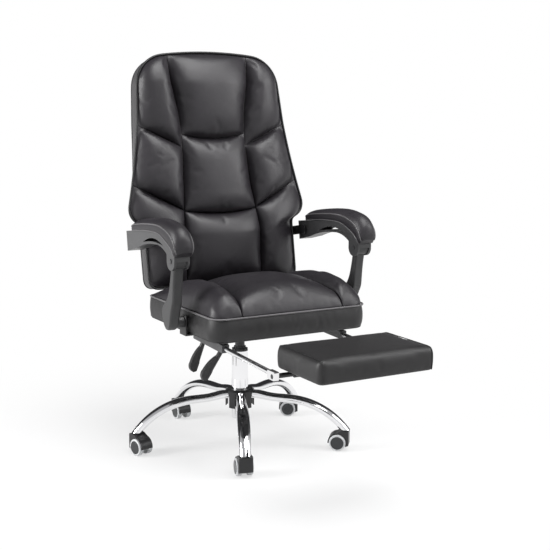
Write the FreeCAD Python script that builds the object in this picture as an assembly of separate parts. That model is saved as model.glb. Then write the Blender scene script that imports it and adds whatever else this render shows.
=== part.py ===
"""Reclining office chair with a sliding footrest, in millimetres.

X runs across the chair, Y to its back and Z up. The origin is on the floor
under the column. Every sub-part is one STEP file in parts/.
"""

import FreeCAD
import Part
import math
import os

V = FreeCAD.Vector

# Fits shared by the whole chair
running_play = 0.05
open_pivot_play = 0.5
face_gap = 0.4

# Castors
wheel_radius = 25.0
wheel_width = 15.5
wheel_gap = 17.0
wheel_edge = 2.5
cap_radius = 19.5
cap_depth = 1.5
cap_rise = 1.2
axle_radius = 3.0
castor_trail = 20.0
hood_wall = 2.6
hood_clearance = 1.2
hood_width = 40.0
hood_back = 13.0
hood_top = 61.5
stem_radius = 5.5
stem_depth = 40.0
stem_collar_radius = 8.0
stem_grip = 15.0

# Star base: legs turn 72 degrees apart, and each castor trails its own way
leg_count = 5
first_leg_angle = -115.4
castor_angles = (74.0, 140.0, 150.0, -88.0, -76.0)
leg_end_radius = 325.0
leg_end_height = 64.0
leg_bend_start = 160.0
leg_slope = 2.0
leg_end_slope = 50.0
leg_height = 25.0
leg_wall = 2.0
leg_widths = (27.0, 31.0, 36.0, 38.5, 39.0, 37.0, 33.0)
socket_wall = 3.5

# Hub and column
sleeve_radius = 31.0
hub_below_legs = 35.1
hub_height = 50.0
cover_radius = 44.0
cover_wall = 3.0
cover_chamfer = 6.0
cover_rise = 4.0
column_radius = 25.0
column_wall = 1.6
column_bottom = 76.0
column_top = 285.0
column_floor = 4.0
bush_collar = 7.0
bush_ring_wall = 3.5
bush_length = 60.0
bush_teeth = 12
bush_tooth = 3.0
cylinder_radius = 14.5
cylinder_wall = 1.5
cylinder_bottom = 115.0
cylinder_cap = 8.0
rod_radius = 5.0
piston_height = 12.0
piston_level = 212.0
bearing_radius = 12.0
bearing_height = 8.0
clip_height = 3.0
pin_radius = 3.0
pin_stroke = 4.4

# Seat
seat_half_width = 240.0
seat_rear_spread = 5.0
seat_front = -310.0
seat_rear = 116.0
seat_bottom = 391.0
seat_boxing = 66.0
seat_corner = 40.0
seat_rear_corner = 24.0
seat_belly = 3.0
seat_top_inset = 4.0
bolster_crown = 76.0
centre_crown = 86.0
seat_valley = 22.0
seam_front = 160.0
seam_back = 130.0
board_thickness = 12.0
board_margin = 25.0

# Mechanism under the seat
plate = 4.0
mechanism_half_width = 63.0
mechanism_flange = 78.0
mechanism_front = -60.0
mechanism_rear = 113.0
mechanism_depth = 50.0
socket_sleeve_wall = 4.5
socket_sleeve_length = 30.0
bolt_radius = 3.0
bolt_head_radius = 6.0
bolt_head = 4.0

# Levers: pivot places, slope of the rod from vertical and its length to the sleeve's end
lever_rod_radius = 4.0
height_pivot = (-42.0, -28.0)
height_slope = 34.0
height_reach = 145.0
recline_pivot = (-56.0, 100.0)
recline_slope = 20.0
recline_reach = 131.0
lever_pivot_drop = 41.0
sleeve_grip_radius = 7.5
sleeve_grip_length = 112.0
paddle_thickness = 13.0

# Footrest
rod_inset = 50.0
rod_drop = 2.0
rod_below_seat = 34.0
rod_over_crossbar = 5.0
slide_rod_radius = 7.0
slide_rod_length = 425.0
guide_size = 22.0
guide_front = -275.0
guide_length = 180.0
crossbar_y = -540.0
crossbar_radius = 6.5
footrest_side_gap = 20.0
footrest_length = 210.0
footrest_thickness = 62.0
footrest_overlap = 30.0
footrest_corner = 16.0
footrest_board_thickness = 10.0
strap_width = 30.0
strap_thickness = 3.0
strap_span = 118.0
eye_wall = 3.5

# Back, in its own upright plane: v up from its lower edge, w forward
back_tilt = 10.0
back_height = 711.0
back_depth = 44.0
back_panel_thickness = 6.0
back_board_thickness = 12.0
back_board_margin = 12.0
hinge_drop = 19.0
hinge_behind = 34.7
hinge_gap = 12.0
hinge_below_piping = 5.0
hinge_span = 115.0
hinge_eye_width = 30.0
hinge_eye_radius = 11.0
hinge_pin_radius = 5.0
hinge_strap = 5.0
lug_thickness = 5.5
back_edge = 2.0

# Arms: every height and length on an arm is measured from its front pivot
arm_past_plate = 37.0
arm_to_back = 19.0
front_pivot = (-200.0, 605.0)
post_lean = (55.0, -180.0)
beam_half_width = 23.0
beam_wall = 4.0
ear_radius = 25.0
barrel_radius = 22.0
barrel_half_width = 15.5
pivot_radius = 5.0
pin_head_radius = 7.0
pin_head = 2.0
arm_plate = 4.0
arm_plate_gap = 9.0
rail_half = 20.0
foot_boss_radius = 16.0
rear_boss_radius = 11.0
rear_stud_reach = 38.0

# Places worked out from the sizes above
piping_height = seat_bottom + seat_boxing
hinge = (seat_rear + hinge_gap, piping_height - hinge_below_piping)
rear_pivot = (hinge[0] - post_lean[0], hinge[1] - post_lean[1])
post_foot = (front_pivot[0] + post_lean[0], front_pivot[1] + post_lean[1])
plate_under = seat_bottom - plate
mechanism_bottom = seat_bottom - mechanism_depth
cylinder_top = mechanism_bottom + 10.0
rod_height = seat_bottom - rod_below_seat
crossbar_height = rod_height - rod_over_crossbar
frame_reach = seat_half_width + arm_plate_gap + arm_plate + 4.0
arm_centre = frame_reach + arm_past_plate
rod_span = seat_half_width - rod_inset
footrest_half_width = rod_span - footrest_side_gap

nodes = {}


def box(x, y, z):
    """Block between two values on each axis."""
    return Part.makeBox(x[1] - x[0], y[1] - y[0], z[1] - z[0], V(x[0], y[0], z[0]))


def round_bar(radius, start, end):
    """Solid cylinder from one centre to another."""
    line = end.sub(start)
    return Part.makeCylinder(radius, line.Length, start, line)


def upright(radius, low, high, x=0.0, y=0.0):
    return round_bar(radius, V(x, y, low), V(x, y, high))


def across(radius, left, right, y, z):
    return round_bar(radius, V(left, y, z), V(right, y, z))


def wire(place, start, steps):
    """Closed wire: a step is the end of a line, or the middle and the end of an arc."""
    edges = []
    here = start
    for step in steps + [start]:
        if isinstance(step[0], tuple):
            through, end = step
            edges.append(Part.Arc(place(*here), place(*through), place(*end)).toShape())
        else:
            end = step
            if place(*here).distanceToPoint(place(*end)) > 1e-6:
                edges.append(Part.LineSegment(place(*here), place(*end)).toShape())
        here = end
    return Part.Wire(edges)


def prism(outline, push):
    return Part.Face(outline).extrude(push)


def loft(wires, ruled=False):
    return Part.makeLoft(wires, True, ruled)


def fuse(first, *others):
    return first.multiFuse(list(others)).removeSplitter()


def mirrored(shape):
    return shape.mirror(V(0, 0, 0), V(1, 0, 0))


def both_sides(shape):
    """The piece and its mirror image on the other side of the chair."""
    return Part.makeCompound([shape, mirrored(shape)])


def solids(shapes):
    """Group of separate solids that share one node."""
    return Part.makeCompound([solid for shape in shapes for solid in shape.Solids])


def between(table, value):
    """Straight-line reading of a table of (position, size) pairs."""
    if value <= table[0][0]:
        return table[0][1]
    for (low, first), (high, second) in zip(table, table[1:]):
        if value <= high:
            return first + (second - first) * (value - low) / (high - low)
    return table[-1][1]


def rounded_rectangle(place, half_x, low_y, high_y, corner):
    """Closed wire of four lines and four quarter arcs, centred across X."""
    k = corner * (1 - math.sqrt(0.5))
    return wire(
        place,
        (half_x, low_y + corner),
        [
            (half_x, high_y - corner),
            ((half_x - k, high_y - k), (half_x - corner, high_y)),
            (corner - half_x, high_y),
            ((k - half_x, high_y - k), (-half_x, high_y - corner)),
            (-half_x, low_y + corner),
            ((k - half_x, low_y + k), (corner - half_x, low_y)),
            (half_x - corner, low_y),
            ((half_x - k, low_y + k), (half_x, low_y + corner)),
        ],
    )


def rounded_edges(shape, radius, chosen):
    """Fillet on the edges that a test picks."""
    edges = [edge for edge in shape.Edges if chosen(edge)]
    return shape.makeFillet(radius, edges)


def is_circle(radius):
    def test(edge):
        return hasattr(edge.Curve, "Radius") and abs(edge.Curve.Radius - radius) < 1e-6

    return test


# Star base

def leg_path():
    """Centre line of a leg as (distance out, height, slope in degrees)."""
    rise = math.sin(math.radians(leg_end_slope)) - math.sin(math.radians(leg_slope))
    bend = (leg_end_radius - leg_bend_start) / rise
    drop = math.cos(math.radians(leg_slope)) - math.cos(math.radians(leg_end_slope))
    start_height = leg_end_height + bend * drop
    path = []
    for out in (column_radius + 3, (column_radius + leg_bend_start) / 2, leg_bend_start):
        climb = (leg_bend_start - out) * math.tan(math.radians(leg_slope))
        path.append((out, start_height + climb, leg_slope))
    steps = len(leg_widths) - len(path)
    for step in range(1, steps + 1):
        slope = leg_slope + (leg_end_slope - leg_slope) * step / steps
        turn = math.sin(math.radians(slope)) - math.sin(math.radians(leg_slope))
        fall = math.cos(math.radians(leg_slope)) - math.cos(math.radians(slope))
        path.append((leg_bend_start + bend * turn, start_height - bend * fall, slope))
    return path


def leg_tube(inset):
    """Oval tube along a leg, run on past its end so that the floor cut is clean."""
    stations = [(r, z, slope, width) for (r, z, slope), width in zip(leg_path(), leg_widths)]
    r, z, slope, width = stations[-1]
    past = leg_height
    down = math.radians(slope)
    stations.append((r + past * math.cos(down), z - past * math.sin(down), slope, width))
    sections = []
    for r, z, slope, width in stations:
        down = math.radians(slope)
        centre = V(r, 0, z)
        side = centre.add(V(0, width / 2 - inset, 0))
        half = leg_height / 2 - inset
        top = centre.add(V(half * math.sin(down), 0, half * math.cos(down)))
        sections.append(Part.Wire([Part.Ellipse(side, top, centre).toShape()]))
    tube = loft(sections)
    reach = leg_end_radius + 2 * leg_height
    return tube.cut(box((0, reach), (-50, 50), (-50, leg_end_height)))


def hub_levels():
    """Lower and upper end of the hub's sleeve, set by where the legs meet it."""
    low = leg_path()[0][1] - hub_below_legs
    return low, low + hub_height


def make_leg():
    outer = leg_tube(0)
    start = sleeve_radius - 1
    hollow = leg_tube(leg_wall).cut(box((0, start), (-50, 50), (0, 300)))
    top = leg_end_height + stem_grip
    socket = upright(stem_radius + socket_wall, leg_end_height, top + 3, leg_end_radius)
    bore = upright(stem_radius, leg_end_height - 1, top, leg_end_radius)
    return outer.cut(hollow).fuse(socket.common(outer)).cut(bore)


def leg_angle(number):
    return first_leg_angle + 360.0 * number / leg_count


def make_star_base():
    leg = make_leg()
    legs = []
    for number in range(leg_count):
        turned = leg.copy()
        turned.rotate(V(0, 0, 0), V(0, 0, 1), leg_angle(number))
        legs.append(turned)
    low, top = hub_levels()
    sleeve = upright(sleeve_radius, low, top)
    bore = upright(column_radius, low - 60, top + 60)
    nodes["star_base"] = sleeve.multiFuse(legs).cut(bore)


def make_hub_cover():
    """Cup over the hub, open below, notched for the legs."""
    low, high = hub_levels()
    top = high + cover_rise
    bottom = low - 2
    shell = upright(cover_radius, bottom, top - cover_chamfer)
    cone = Part.makeCone(
        cover_radius, cover_radius - cover_chamfer, cover_chamfer, V(0, 0, top - cover_chamfer)
    )
    inner = cover_radius - cover_wall
    turn = top - cover_chamfer - 1
    inside = upright(inner, bottom - 1, turn).fuse(
        Part.makeCone(inner, inner - cover_chamfer + 2, top - cover_wall - turn, V(0, 0, turn))
    )
    bore = upright(column_radius + face_gap, bottom, top + 1)
    cover = shell.fuse(cone).cut(inside).cut(bore)
    path = leg_path()
    centre_height = between([(r, z) for r, z, slope in path], cover_radius)
    width = between([(r, w) for (r, z, slope), w in zip(path, leg_widths)], cover_radius)
    half = width / 2 + 2.0
    notch = box(
        (sleeve_radius, cover_radius + 5), (-half, half), (bottom - 1, centre_height)
    ).fuse(
        round_bar(half, V(sleeve_radius, 0, centre_height), V(cover_radius + 5, 0, centre_height))
    )
    for number in range(leg_count):
        turned = notch.copy()
        turned.rotate(V(0, 0, 0), V(0, 0, 1), leg_angle(number))
        cover = cover.cut(turned)
    nodes["hub_cover"] = cover


# Castors, made at the origin with the wheels trailing along +Y

def make_hood():
    """Hood over both wheels: a block at the stem and an arch over the treads."""
    radius = wheel_radius + hood_clearance + hood_wall
    centre = (castor_trail, wheel_radius)

    def rim(degrees):
        a = math.radians(degrees)
        return (centre[0] + radius * math.cos(a), centre[1] + radius * math.sin(a))

    low = wheel_radius * 0.7
    soft = 4.0
    outline = wire(
        lambda y, z: V(-hood_width / 2, y, z),
        (-hood_back, low),
        [
            (-hood_back, hood_top - soft),
            ((-hood_back + soft * 0.3, hood_top - soft * 0.3), (-hood_back + soft, hood_top)),
            (stem_collar_radius + 1, hood_top),
            rim(80),
            (rim(38), rim(-4)),
            (castor_trail, low - 4),
            (0, low - 6),
        ],
    )
    hood = prism(outline, V(hood_width, 0, 0))
    web = wheel_gap / 2 - 0.3
    tyre = wheel_radius + hood_clearance
    for side in (-1, 1):
        cavity = across(tyre, side * web, side * hood_width, *centre)
        hood = hood.cut(cavity)
    bore = upright(stem_radius + running_play, hood_top - stem_depth, hood_top + 1)
    axle_hole = across(axle_radius + running_play, -hood_width, hood_width, *centre)
    return hood.cut(bore).cut(axle_hole)


def make_wheel(side):
    inner = side * wheel_gap / 2
    outer = inner + side * wheel_width
    wheel = across(wheel_radius, inner, outer, castor_trail, wheel_radius)
    wheel = rounded_edges(wheel, wheel_edge, is_circle(wheel_radius))
    recess = across(
        cap_radius, outer - side * cap_depth, outer + side, castor_trail, wheel_radius
    )
    bore = across(axle_radius, inner - side, outer + side, castor_trail, wheel_radius)
    return wheel.cut(recess).cut(bore)


def make_cap(side):
    seat = side * (wheel_gap / 2 + wheel_width - cap_depth)
    face = seat + side * (cap_depth + cap_rise)
    cap = across(cap_radius, seat, face, castor_trail, wheel_radius)
    return rounded_edges(
        cap, cap_rise, lambda e: is_circle(cap_radius)(e) and abs(e.CenterOfMass.x - face) < 0.01
    )


def make_castors():
    pieces = {
        "hood": make_hood(),
        "wheels": Part.makeCompound([make_wheel(-1), make_wheel(1)]),
        "caps": Part.makeCompound([make_cap(-1), make_cap(1)]),
    }
    reach = wheel_gap / 2 + wheel_width - cap_depth
    pieces["axle"] = across(axle_radius, -reach, reach, castor_trail, wheel_radius)
    stem = fuse(
        upright(stem_radius, hood_top - stem_depth + 1, leg_end_height + stem_grip),
        upright(stem_collar_radius, hood_top + 0.2, leg_end_height),
    )
    stems = []
    for number, trail_angle in enumerate(castor_angles):
        angle = math.radians(leg_angle(number))
        place = V(leg_end_radius * math.cos(angle), leg_end_radius * math.sin(angle), 0)
        for name, shape in pieces.items():
            moved = shape.copy()
            moved.rotate(V(0, 0, 0), V(0, 0, 1), trail_angle - 90)
            moved.translate(place)
            nodes[f"castor_{number + 1}_{name}"] = moved
        moved = stem.copy()
        moved.translate(place)
        stems.append(moved)
    nodes["castor_stems"] = solids(stems)


# Column

def make_column():
    inner = column_radius - column_wall
    tube = upright(column_radius, column_bottom, column_top)
    floor = column_bottom + column_floor
    tube = tube.cut(upright(inner, floor, column_top + 1))
    nodes["column_tube"] = tube.cut(upright(rod_radius + running_play, column_bottom - 1, floor + 1))

    bearing_top = floor + bearing_height
    race = upright(bearing_radius, floor, bearing_top)
    nodes["thrust_bearing"] = race.cut(upright(rod_radius + running_play, floor - 1, bearing_top + 1))

    ring_radius = cylinder_radius + bush_ring_wall
    ring_top = column_top + 2 * bush_collar
    bush = fuse(
        upright(inner, column_top - bush_length, column_top),
        upright(column_radius - 1, column_top, column_top + bush_collar),
        upright(ring_radius, column_top, ring_top),
    )
    bush = bush.cut(
        upright(cylinder_radius + running_play, column_top - bush_length - 1, ring_top + 1)
    )
    tooth_gap = box(
        (column_radius - bush_tooth, column_radius + 1),
        (-bush_tooth / 2, bush_tooth / 2),
        (column_top + 2, column_top + bush_collar + 1),
    ).fuse(
        box(
            (ring_radius - bush_ring_wall / 2, ring_radius + 1),
            (-bush_tooth / 2, bush_tooth / 2),
            (column_top + bush_collar + 1, ring_top + 1),
        )
    )
    for number in range(bush_teeth):
        turned = tooth_gap.copy()
        turned.rotate(V(0, 0, 0), V(0, 0, 1), 360.0 * number / bush_teeth)
        bush = bush.cut(turned)
    nodes["column_bush"] = bush

    shoulder = bearing_top + 0.1
    piston_radius = cylinder_radius - cylinder_wall - running_play
    nodes["piston_rod"] = fuse(
        upright(rod_radius, column_bottom - clip_height - 2, piston_level + piston_height),
        upright(rod_radius * 2, shoulder, shoulder + 3),
        upright(piston_radius, piston_level, piston_level + piston_height),
        upright(rod_radius * 1.6, column_bottom - clip_height - 0.1, column_bottom - 0.1),
    )

    inside = cylinder_radius - cylinder_wall
    cylinder = upright(cylinder_radius, cylinder_bottom, cylinder_top)
    cylinder = cylinder.cut(
        upright(inside, cylinder_bottom + cylinder_cap, cylinder_top - cylinder_cap)
    )
    cylinder = cylinder.cut(
        upright(rod_radius + running_play, cylinder_bottom - 1, cylinder_bottom + cylinder_cap + 1)
    )
    valve = upright(pin_radius + running_play, cylinder_top - cylinder_cap - 1, cylinder_top + 1)
    nodes["gas_cylinder"] = cylinder.cut(valve)
    nodes["release_pin"] = upright(
        pin_radius, cylinder_top - cylinder_cap, cylinder_top + 2 * pin_stroke
    )


# Mechanism and levers

def lever_pivot(place):
    return V(place[0], place[1], seat_bottom - lever_pivot_drop)


def make_mechanism():
    """Pressed steel box under the seat, with the sleeve that takes the column."""
    half = mechanism_half_width
    ends = (mechanism_front, mechanism_rear)
    top = box((-mechanism_flange, mechanism_flange), ends, (plate_under, seat_bottom))
    walls = [
        box((side * half - plate / 2, side * half + plate / 2), ends, (mechanism_bottom, plate_under))
        for side in (-1, 1)
    ]
    floor = box((-half, half), ends, (mechanism_bottom, mechanism_bottom + plate))
    sleeve_radius_outer = cylinder_radius + socket_sleeve_wall
    sleeve_low = mechanism_bottom - socket_sleeve_length / 2
    sleeve = upright(sleeve_radius_outer, sleeve_low, cylinder_top)
    shape = fuse(top, *walls, floor, sleeve)
    shape = shape.cut(upright(cylinder_radius, sleeve_low - 1, cylinder_top + 1))
    for place, slope in ((height_pivot, height_slope), (recline_pivot, recline_slope)):
        pivot = lever_pivot(place)
        lean = (pivot.z - mechanism_bottom + 25) * math.tan(math.radians(slope))
        slot = 2 * lever_rod_radius + 4
        way = box(
            (pivot.x - lean - slot, pivot.x + slot - 2),
            (pivot.y - slot / 2, pivot.y + slot / 2),
            (mechanism_bottom - 1, pivot.z + lever_rod_radius),
        )
        shape = shape.cut(way)
        for side in (-1, 1):
            inner = pivot.y + side * (slot / 2)
            lug = box(
                (pivot.x - 7, pivot.x + 7),
                tuple(sorted((inner, inner + side * 3))),
                (mechanism_bottom, pivot.z + 8),
            )
            shape = shape.fuse(lug)
        hole = round_bar(
            pin_radius + running_play, pivot.sub(V(0, slot, 0)), pivot.add(V(0, slot, 0))
        )
        shape = shape.cut(hole)
    nodes["mechanism"] = shape.cut(bolt_shanks(mechanism_bolts(), plate_under - 1, seat_bottom + 1))


def mechanism_bolts():
    x = mechanism_flange - bolt_head_radius - 1
    rear = seat_rear - board_margin - 2 * bolt_head_radius
    return [(s * x, y) for s in (-1, 1) for y in (mechanism_front + 2 * bolt_head_radius, rear)]


def guide_bolt_x():
    return rod_span + guide_size / 2 + bolt_head_radius + 2


def guide_bolts():
    places = (guide_front + 20, post_foot[0] - rail_half - 22)
    return [(s * guide_bolt_x(), y) for s in (-1, 1) for y in places]


def frame_bolts():
    return [(s * hinge_span, y) for s in (-1, 1) for y in (post_foot[0] + 45, seat_rear - 40)]


def bolt_shanks(places, low, high):
    return Part.makeCompound([upright(bolt_radius, low, high, x, y) for x, y in places])


def make_mount_bolts():
    places = mechanism_bolts() + guide_bolts() + frame_bolts()
    top = seat_bottom + board_thickness - 1
    bolts = [
        upright(bolt_radius, plate_under, top, x, y).fuse(
            upright(bolt_head_radius, plate_under - bolt_head, plate_under, x, y)
        )
        for x, y in places
    ]
    nodes["mount_bolts"] = solids(bolts)


def lever_parts(place, slope, reach, tail):
    """Steel rod with its cross pin, and the ribbed grip with its paddle."""
    pivot = lever_pivot(place)
    lean = math.radians(slope)
    down = V(-math.sin(lean), 0, -math.cos(lean))
    out = V(-math.cos(lean), 0, math.sin(lean))
    end = pivot.add(down * reach)
    slot = 2 * lever_rod_radius + 4
    half_pin = slot / 2 + 3
    rod = fuse(
        round_bar(lever_rod_radius, pivot.sub(down * 5), end.sub(down * 2)),
        round_bar(pin_radius, pivot.sub(V(0, half_pin, 0)), pivot.add(V(0, half_pin, 0))),
    )
    if tail:
        pin_top = cylinder_top + 2 * pin_stroke
        rise = pin_top + 0.4
        arm = box((pivot.x - 4, 6), (pivot.y - 4, pivot.y + 4), (rise, rise + 4))
        finger = box((-6, 6), (pivot.y - 4, 6), (rise, rise + 4))
        link = box((pivot.x - 4, pivot.x + 4), (pivot.y - 4, pivot.y + 4), (pivot.z, rise + 4))
        rod = fuse(rod, arm, finger, link)
    start = end.sub(down * sleeve_grip_length)
    grip = round_bar(sleeve_grip_radius, start, end)
    thickness = V(0, paddle_thickness, 0)
    corner = end.sub(thickness * 0.5)
    paddle = wire(
        lambda s, n: corner.add(down * s).add(out * n),
        (-64, 4),
        [
            ((-38, 16), (-5, 21)),
            ((15, 16), (22, 3)),
            (16, -6),
            (-10, -sleeve_grip_radius + 1),
        ],
    )
    grip = grip.fuse(prism(paddle, thickness)).removeSplitter()
    grip = grip.cut(round_bar(lever_rod_radius, start.sub(down), end.sub(down * 2)))
    return rod, grip


def make_levers():
    rod, grip = lever_parts(height_pivot, height_slope, height_reach, True)
    nodes["height_lever_rod"] = rod
    nodes["height_lever_grip"] = grip
    rod, grip = lever_parts(recline_pivot, recline_slope, recline_reach, False)
    nodes["recline_lever_rod"] = rod
    nodes["recline_lever_grip"] = grip


# Seat

def plan_half_width(y, low, high, half):
    """Half width of the seat's plan, with its round corners, at one place along it."""
    half += seat_rear_spread * (y - low) / (high - low)
    for room, corner in ((y - low, seat_corner), (high - y, seat_rear_corner)):
        if room < corner:
            return half - corner + math.sqrt(max(corner**2 - (corner - room) ** 2, 0))
    return half


def seat_plan(z, inset):
    """Closed wire of the seat's plan at one height, wider at the rear than in front."""
    front, rear = seat_front + inset, seat_rear - max(inset, 0)
    half, wide = seat_half_width - inset, seat_half_width + seat_rear_spread - inset
    c, r = seat_corner, seat_rear_corner
    k = 1 - math.sqrt(0.5)
    right = [
        (wide, rear - r),
        ((wide - k * r, rear - k * r), (wide - r, rear)),
        (r - wide, rear),
        ((k * r - wide, rear - k * r), (-wide, rear - r)),
        (-half, front + c),
        ((k * c - half, front + k * c), (c - half, front)),
        (half - c, front),
        ((half - k * c, front + k * c), (half, front + c)),
    ]
    return wire(seat_level(z), (half, front + c), right)


def seat_level(z):
    return lambda x, y: V(x, y, z)


def make_seat():
    margin = board_margin
    outline = rounded_rectangle(
        seat_level(seat_bottom),
        seat_half_width - margin,
        seat_front + margin,
        seat_rear - margin,
        seat_corner,
    )
    board = prism(outline, V(0, 0, board_thickness))
    places = mechanism_bolts() + guide_bolts() + frame_bolts()
    nodes["seat_board"] = board.cut(
        bolt_shanks(places, seat_bottom - 1, seat_bottom + board_thickness - 1)
    )

    rings = []
    for share, inset in ((0.0, 7.0), (0.12, 1.5), (0.5, -seat_belly), (0.9, 0.0), (1.0, 1.0)):
        rings.append(seat_plan(seat_bottom + share * seat_boxing, inset))
    nodes["seat_cushion"] = loft(rings).cut(board)
    make_seat_top()


def make_seat_top():
    """Pillow of three sewn sections, with a valley along each seam."""
    low, high = seat_front + seat_top_inset, seat_rear - seat_top_inset
    length = high - low
    stations = (
        (0.004, 0.10), (0.03, 0.42), (0.085, 0.72), (0.18, 0.91), (0.32, 1.0), (0.5, 0.97),
        (0.68, 0.85), (0.84, 0.58), (0.95, 0.24), (0.996, 0.06),
    )
    sections = []
    for share, height in stations:
        y = low + share * length
        half = plan_half_width(y, low, high, seat_half_width - seat_top_inset)
        seam = seam_front + (seam_back - seam_front) * share
        side = piping_height + 0.10 * height * bolster_crown
        bolster = piping_height + height * bolster_crown
        centre = piping_height + height * centre_crown
        valley = bolster - seat_valley * height**2
        base = piping_height + face_gap
        middle = (seam + half) / 2
        sections.append(
            wire(
                lambda x, z, y=y: V(x, y, z),
                (-half, base),
                [
                    (half, base),
                    (half, side + 1),
                    ((middle, bolster), (seam, valley)),
                    ((0, centre), (-seam, valley)),
                    ((-middle, bolster), (-half, side + 1)),
                ],
            )
        )
    nodes["seat_top_cushion"] = loft(sections)


# Steel frame between the seat, the arms and the back hinge

def make_seat_frame():
    foot_y, foot_z = post_foot
    under = (plate_under, seat_bottom)
    reach = frame_reach
    half_rail = rail_half
    rail = box((-reach, reach), (foot_y - half_rail, foot_y + half_rail), under)
    pieces = [rail]
    for side in (-1, 1):
        plate_faces = sorted((side * reach, side * (reach - arm_plate)))
        pieces.append(
            box(plate_faces, (foot_y - half_rail, foot_y + half_rail), (plate_under, foot_z))
        )
        pieces.append(across(half_rail, *plate_faces, foot_y, foot_z))
        bar = (side * hinge_span - eye_bar_half(), side * hinge_span + eye_bar_half())
        pieces.append(box(bar, (foot_y - half_rail, hinge[0] + hinge_eye_radius), under))
        for end in (-1, 1):
            lug_in = side * hinge_span + end * (hinge_eye_width / 2 + 0.3)
            faces = sorted((lug_in, lug_in + end * lug_thickness))
            rear = (hinge[0] - hinge_eye_radius, hinge[0] + hinge_eye_radius)
            pieces.append(box(faces, rear, (plate_under, hinge[1])))
            pieces.append(across(hinge_eye_radius, *faces, *hinge))
    frame = fuse(*pieces)
    for side in (-1, 1):
        frame = frame.cut(across(pivot_radius, side * (reach - 20), side * (reach + 20), *post_foot))
        centre = side * hinge_span
        frame = frame.cut(across(hinge_pin_radius, centre - 30, centre + 30, *hinge))
    nodes["seat_frame"] = frame.cut(bolt_shanks(frame_bolts(), plate_under - 1, seat_bottom + 1))

    plate_inner = reach - arm_plate
    arm_bolt = fuse(
        across(pivot_radius, plate_inner - 1, arm_centre, *post_foot),
        across(pivot_radius * 1.8, plate_inner - 4, plate_inner, *post_foot),
    )
    half = hinge_eye_width / 2 + 0.3 + lug_thickness
    back_bolt = fuse(
        across(hinge_pin_radius, hinge_span - half - 4, hinge_span + half + 4, *hinge),
        across(hinge_pin_radius * 1.8, hinge_span - half - 4, hinge_span - half, *hinge),
        across(hinge_pin_radius * 1.6, hinge_span + half, hinge_span + half + 4, *hinge),
    )
    nodes["seat_pivot_bolts"] = solids(
        [arm_bolt, mirrored(arm_bolt), back_bolt, mirrored(back_bolt)]
    )


def eye_bar_half():
    return hinge_eye_width / 2 + 0.3 + lug_thickness


# Footrest

def slid(shape):
    """Turn a level piece onto the slope that the footrest slides along."""
    turned = shape.copy()
    turned.rotate(V(0, crossbar_y, rod_height), V(1, 0, 0), rod_drop)
    return turned


def level_bar(x, radius, front, rear):
    return round_bar(radius, V(x, front, rod_height), V(x, rear, rod_height))


def make_footrest():
    make_guides()
    make_footrest_rods()
    end = rod_span + slide_rod_radius
    nodes["footrest_crossbar"] = across(crossbar_radius, -end, end, crossbar_y, crossbar_height)

    eye = crossbar_radius + eye_wall
    strap_low = crossbar_height + eye
    strap_top = strap_low + strap_thickness
    pad_rear = crossbar_y + footrest_overlap
    pad_front = pad_rear - footrest_length
    straps = []
    for side in (-1, 1):
        faces = (side * strap_span - strap_width / 2, side * strap_span + strap_width / 2)
        barrel = across(eye, *faces, crossbar_y, crossbar_height)
        neck = box(faces, (crossbar_y - eye / 2, crossbar_y + eye / 2), (strap_low - eye / 2, strap_top))
        flat = box(faces, (pad_front + 40, pad_rear - 20), (strap_low, strap_top))
        bore = across(crossbar_radius + running_play, *faces, crossbar_y, crossbar_height)
        straps.append(fuse(barrel, neck, flat).cut(bore))
    nodes["footrest_straps"] = solids(straps)

    inset = 15.0
    board = prism(
        rounded_rectangle(
            seat_level(strap_top),
            footrest_half_width - inset,
            pad_front + inset,
            pad_rear - inset,
            footrest_corner,
        ),
        V(0, 0, footrest_board_thickness),
    )
    nodes["footrest_board"] = board
    rings = []
    for share, shrink in (
        (0.0, 6.0), (0.08, 1.5), (0.3, 0.0), (0.72, 0.0), (0.9, 3.0), (0.97, 9.0), (1.0, 22.0),
    ):
        rings.append(
            rounded_rectangle(
                seat_level(strap_top + share * footrest_thickness),
                footrest_half_width - shrink,
                pad_front + shrink,
                pad_rear - shrink,
                footrest_corner,
            )
        )
    nodes["footrest_cushion"] = loft(rings).cut(board)


def make_footrest_rods():
    """Two sliding rods, each with a flat end that holds the crossbar."""
    rods = []
    for side in (-1, 1):
        x = side * rod_span
        bar = level_bar(x, slide_rod_radius, crossbar_y + 6, crossbar_y + slide_rod_length)
        end = box(
            (x - slide_rod_radius, x + slide_rod_radius),
            (crossbar_y - crossbar_radius - 5, crossbar_y + 24),
            (crossbar_height - crossbar_radius - 3, rod_height + slide_rod_radius + 1),
        )
        end = rounded_edges(end, 3.0, lambda e: abs(e.tangentAt(0).x) > 0.9)
        socket = across(crossbar_radius, x - 20, x + 20, crossbar_y, crossbar_height)
        rods.append(slid(bar).fuse(end).cut(socket))
    nodes["footrest_rods"] = solids(rods)


def make_guides():
    """Square tubes that the rods slide in, each hung from a flange under the seat board."""
    half = guide_size / 2
    hanger_front = guide_front + 5
    hanger_rear = post_foot[0] - rail_half - 7
    guides = []
    for side in (-1, 1):
        x = side * rod_span
        tube = box(
            (x - half, x + half),
            (guide_front, guide_front + guide_length),
            (rod_height - half, rod_height + half),
        )
        rib = box((x - 3, x + 3), (hanger_front, hanger_rear), (rod_height + half, seat_bottom))
        flange_x = sorted((x - side * 6, side * (guide_bolt_x() + bolt_head_radius + 2)))
        flange = box(flange_x, (hanger_front, hanger_rear), (plate_under, seat_bottom))
        bore = level_bar(
            x, slide_rod_radius + running_play, guide_front - 5, guide_front + guide_length + 5
        )
        guides.append(fuse(slid(tube), rib, flange).cut(slid(bore)))
    holes = bolt_shanks(guide_bolts(), plate_under - 1, seat_bottom + 1)
    nodes["footrest_guides"] = solids([guide.cut(holes) for guide in guides])


# Back

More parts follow.
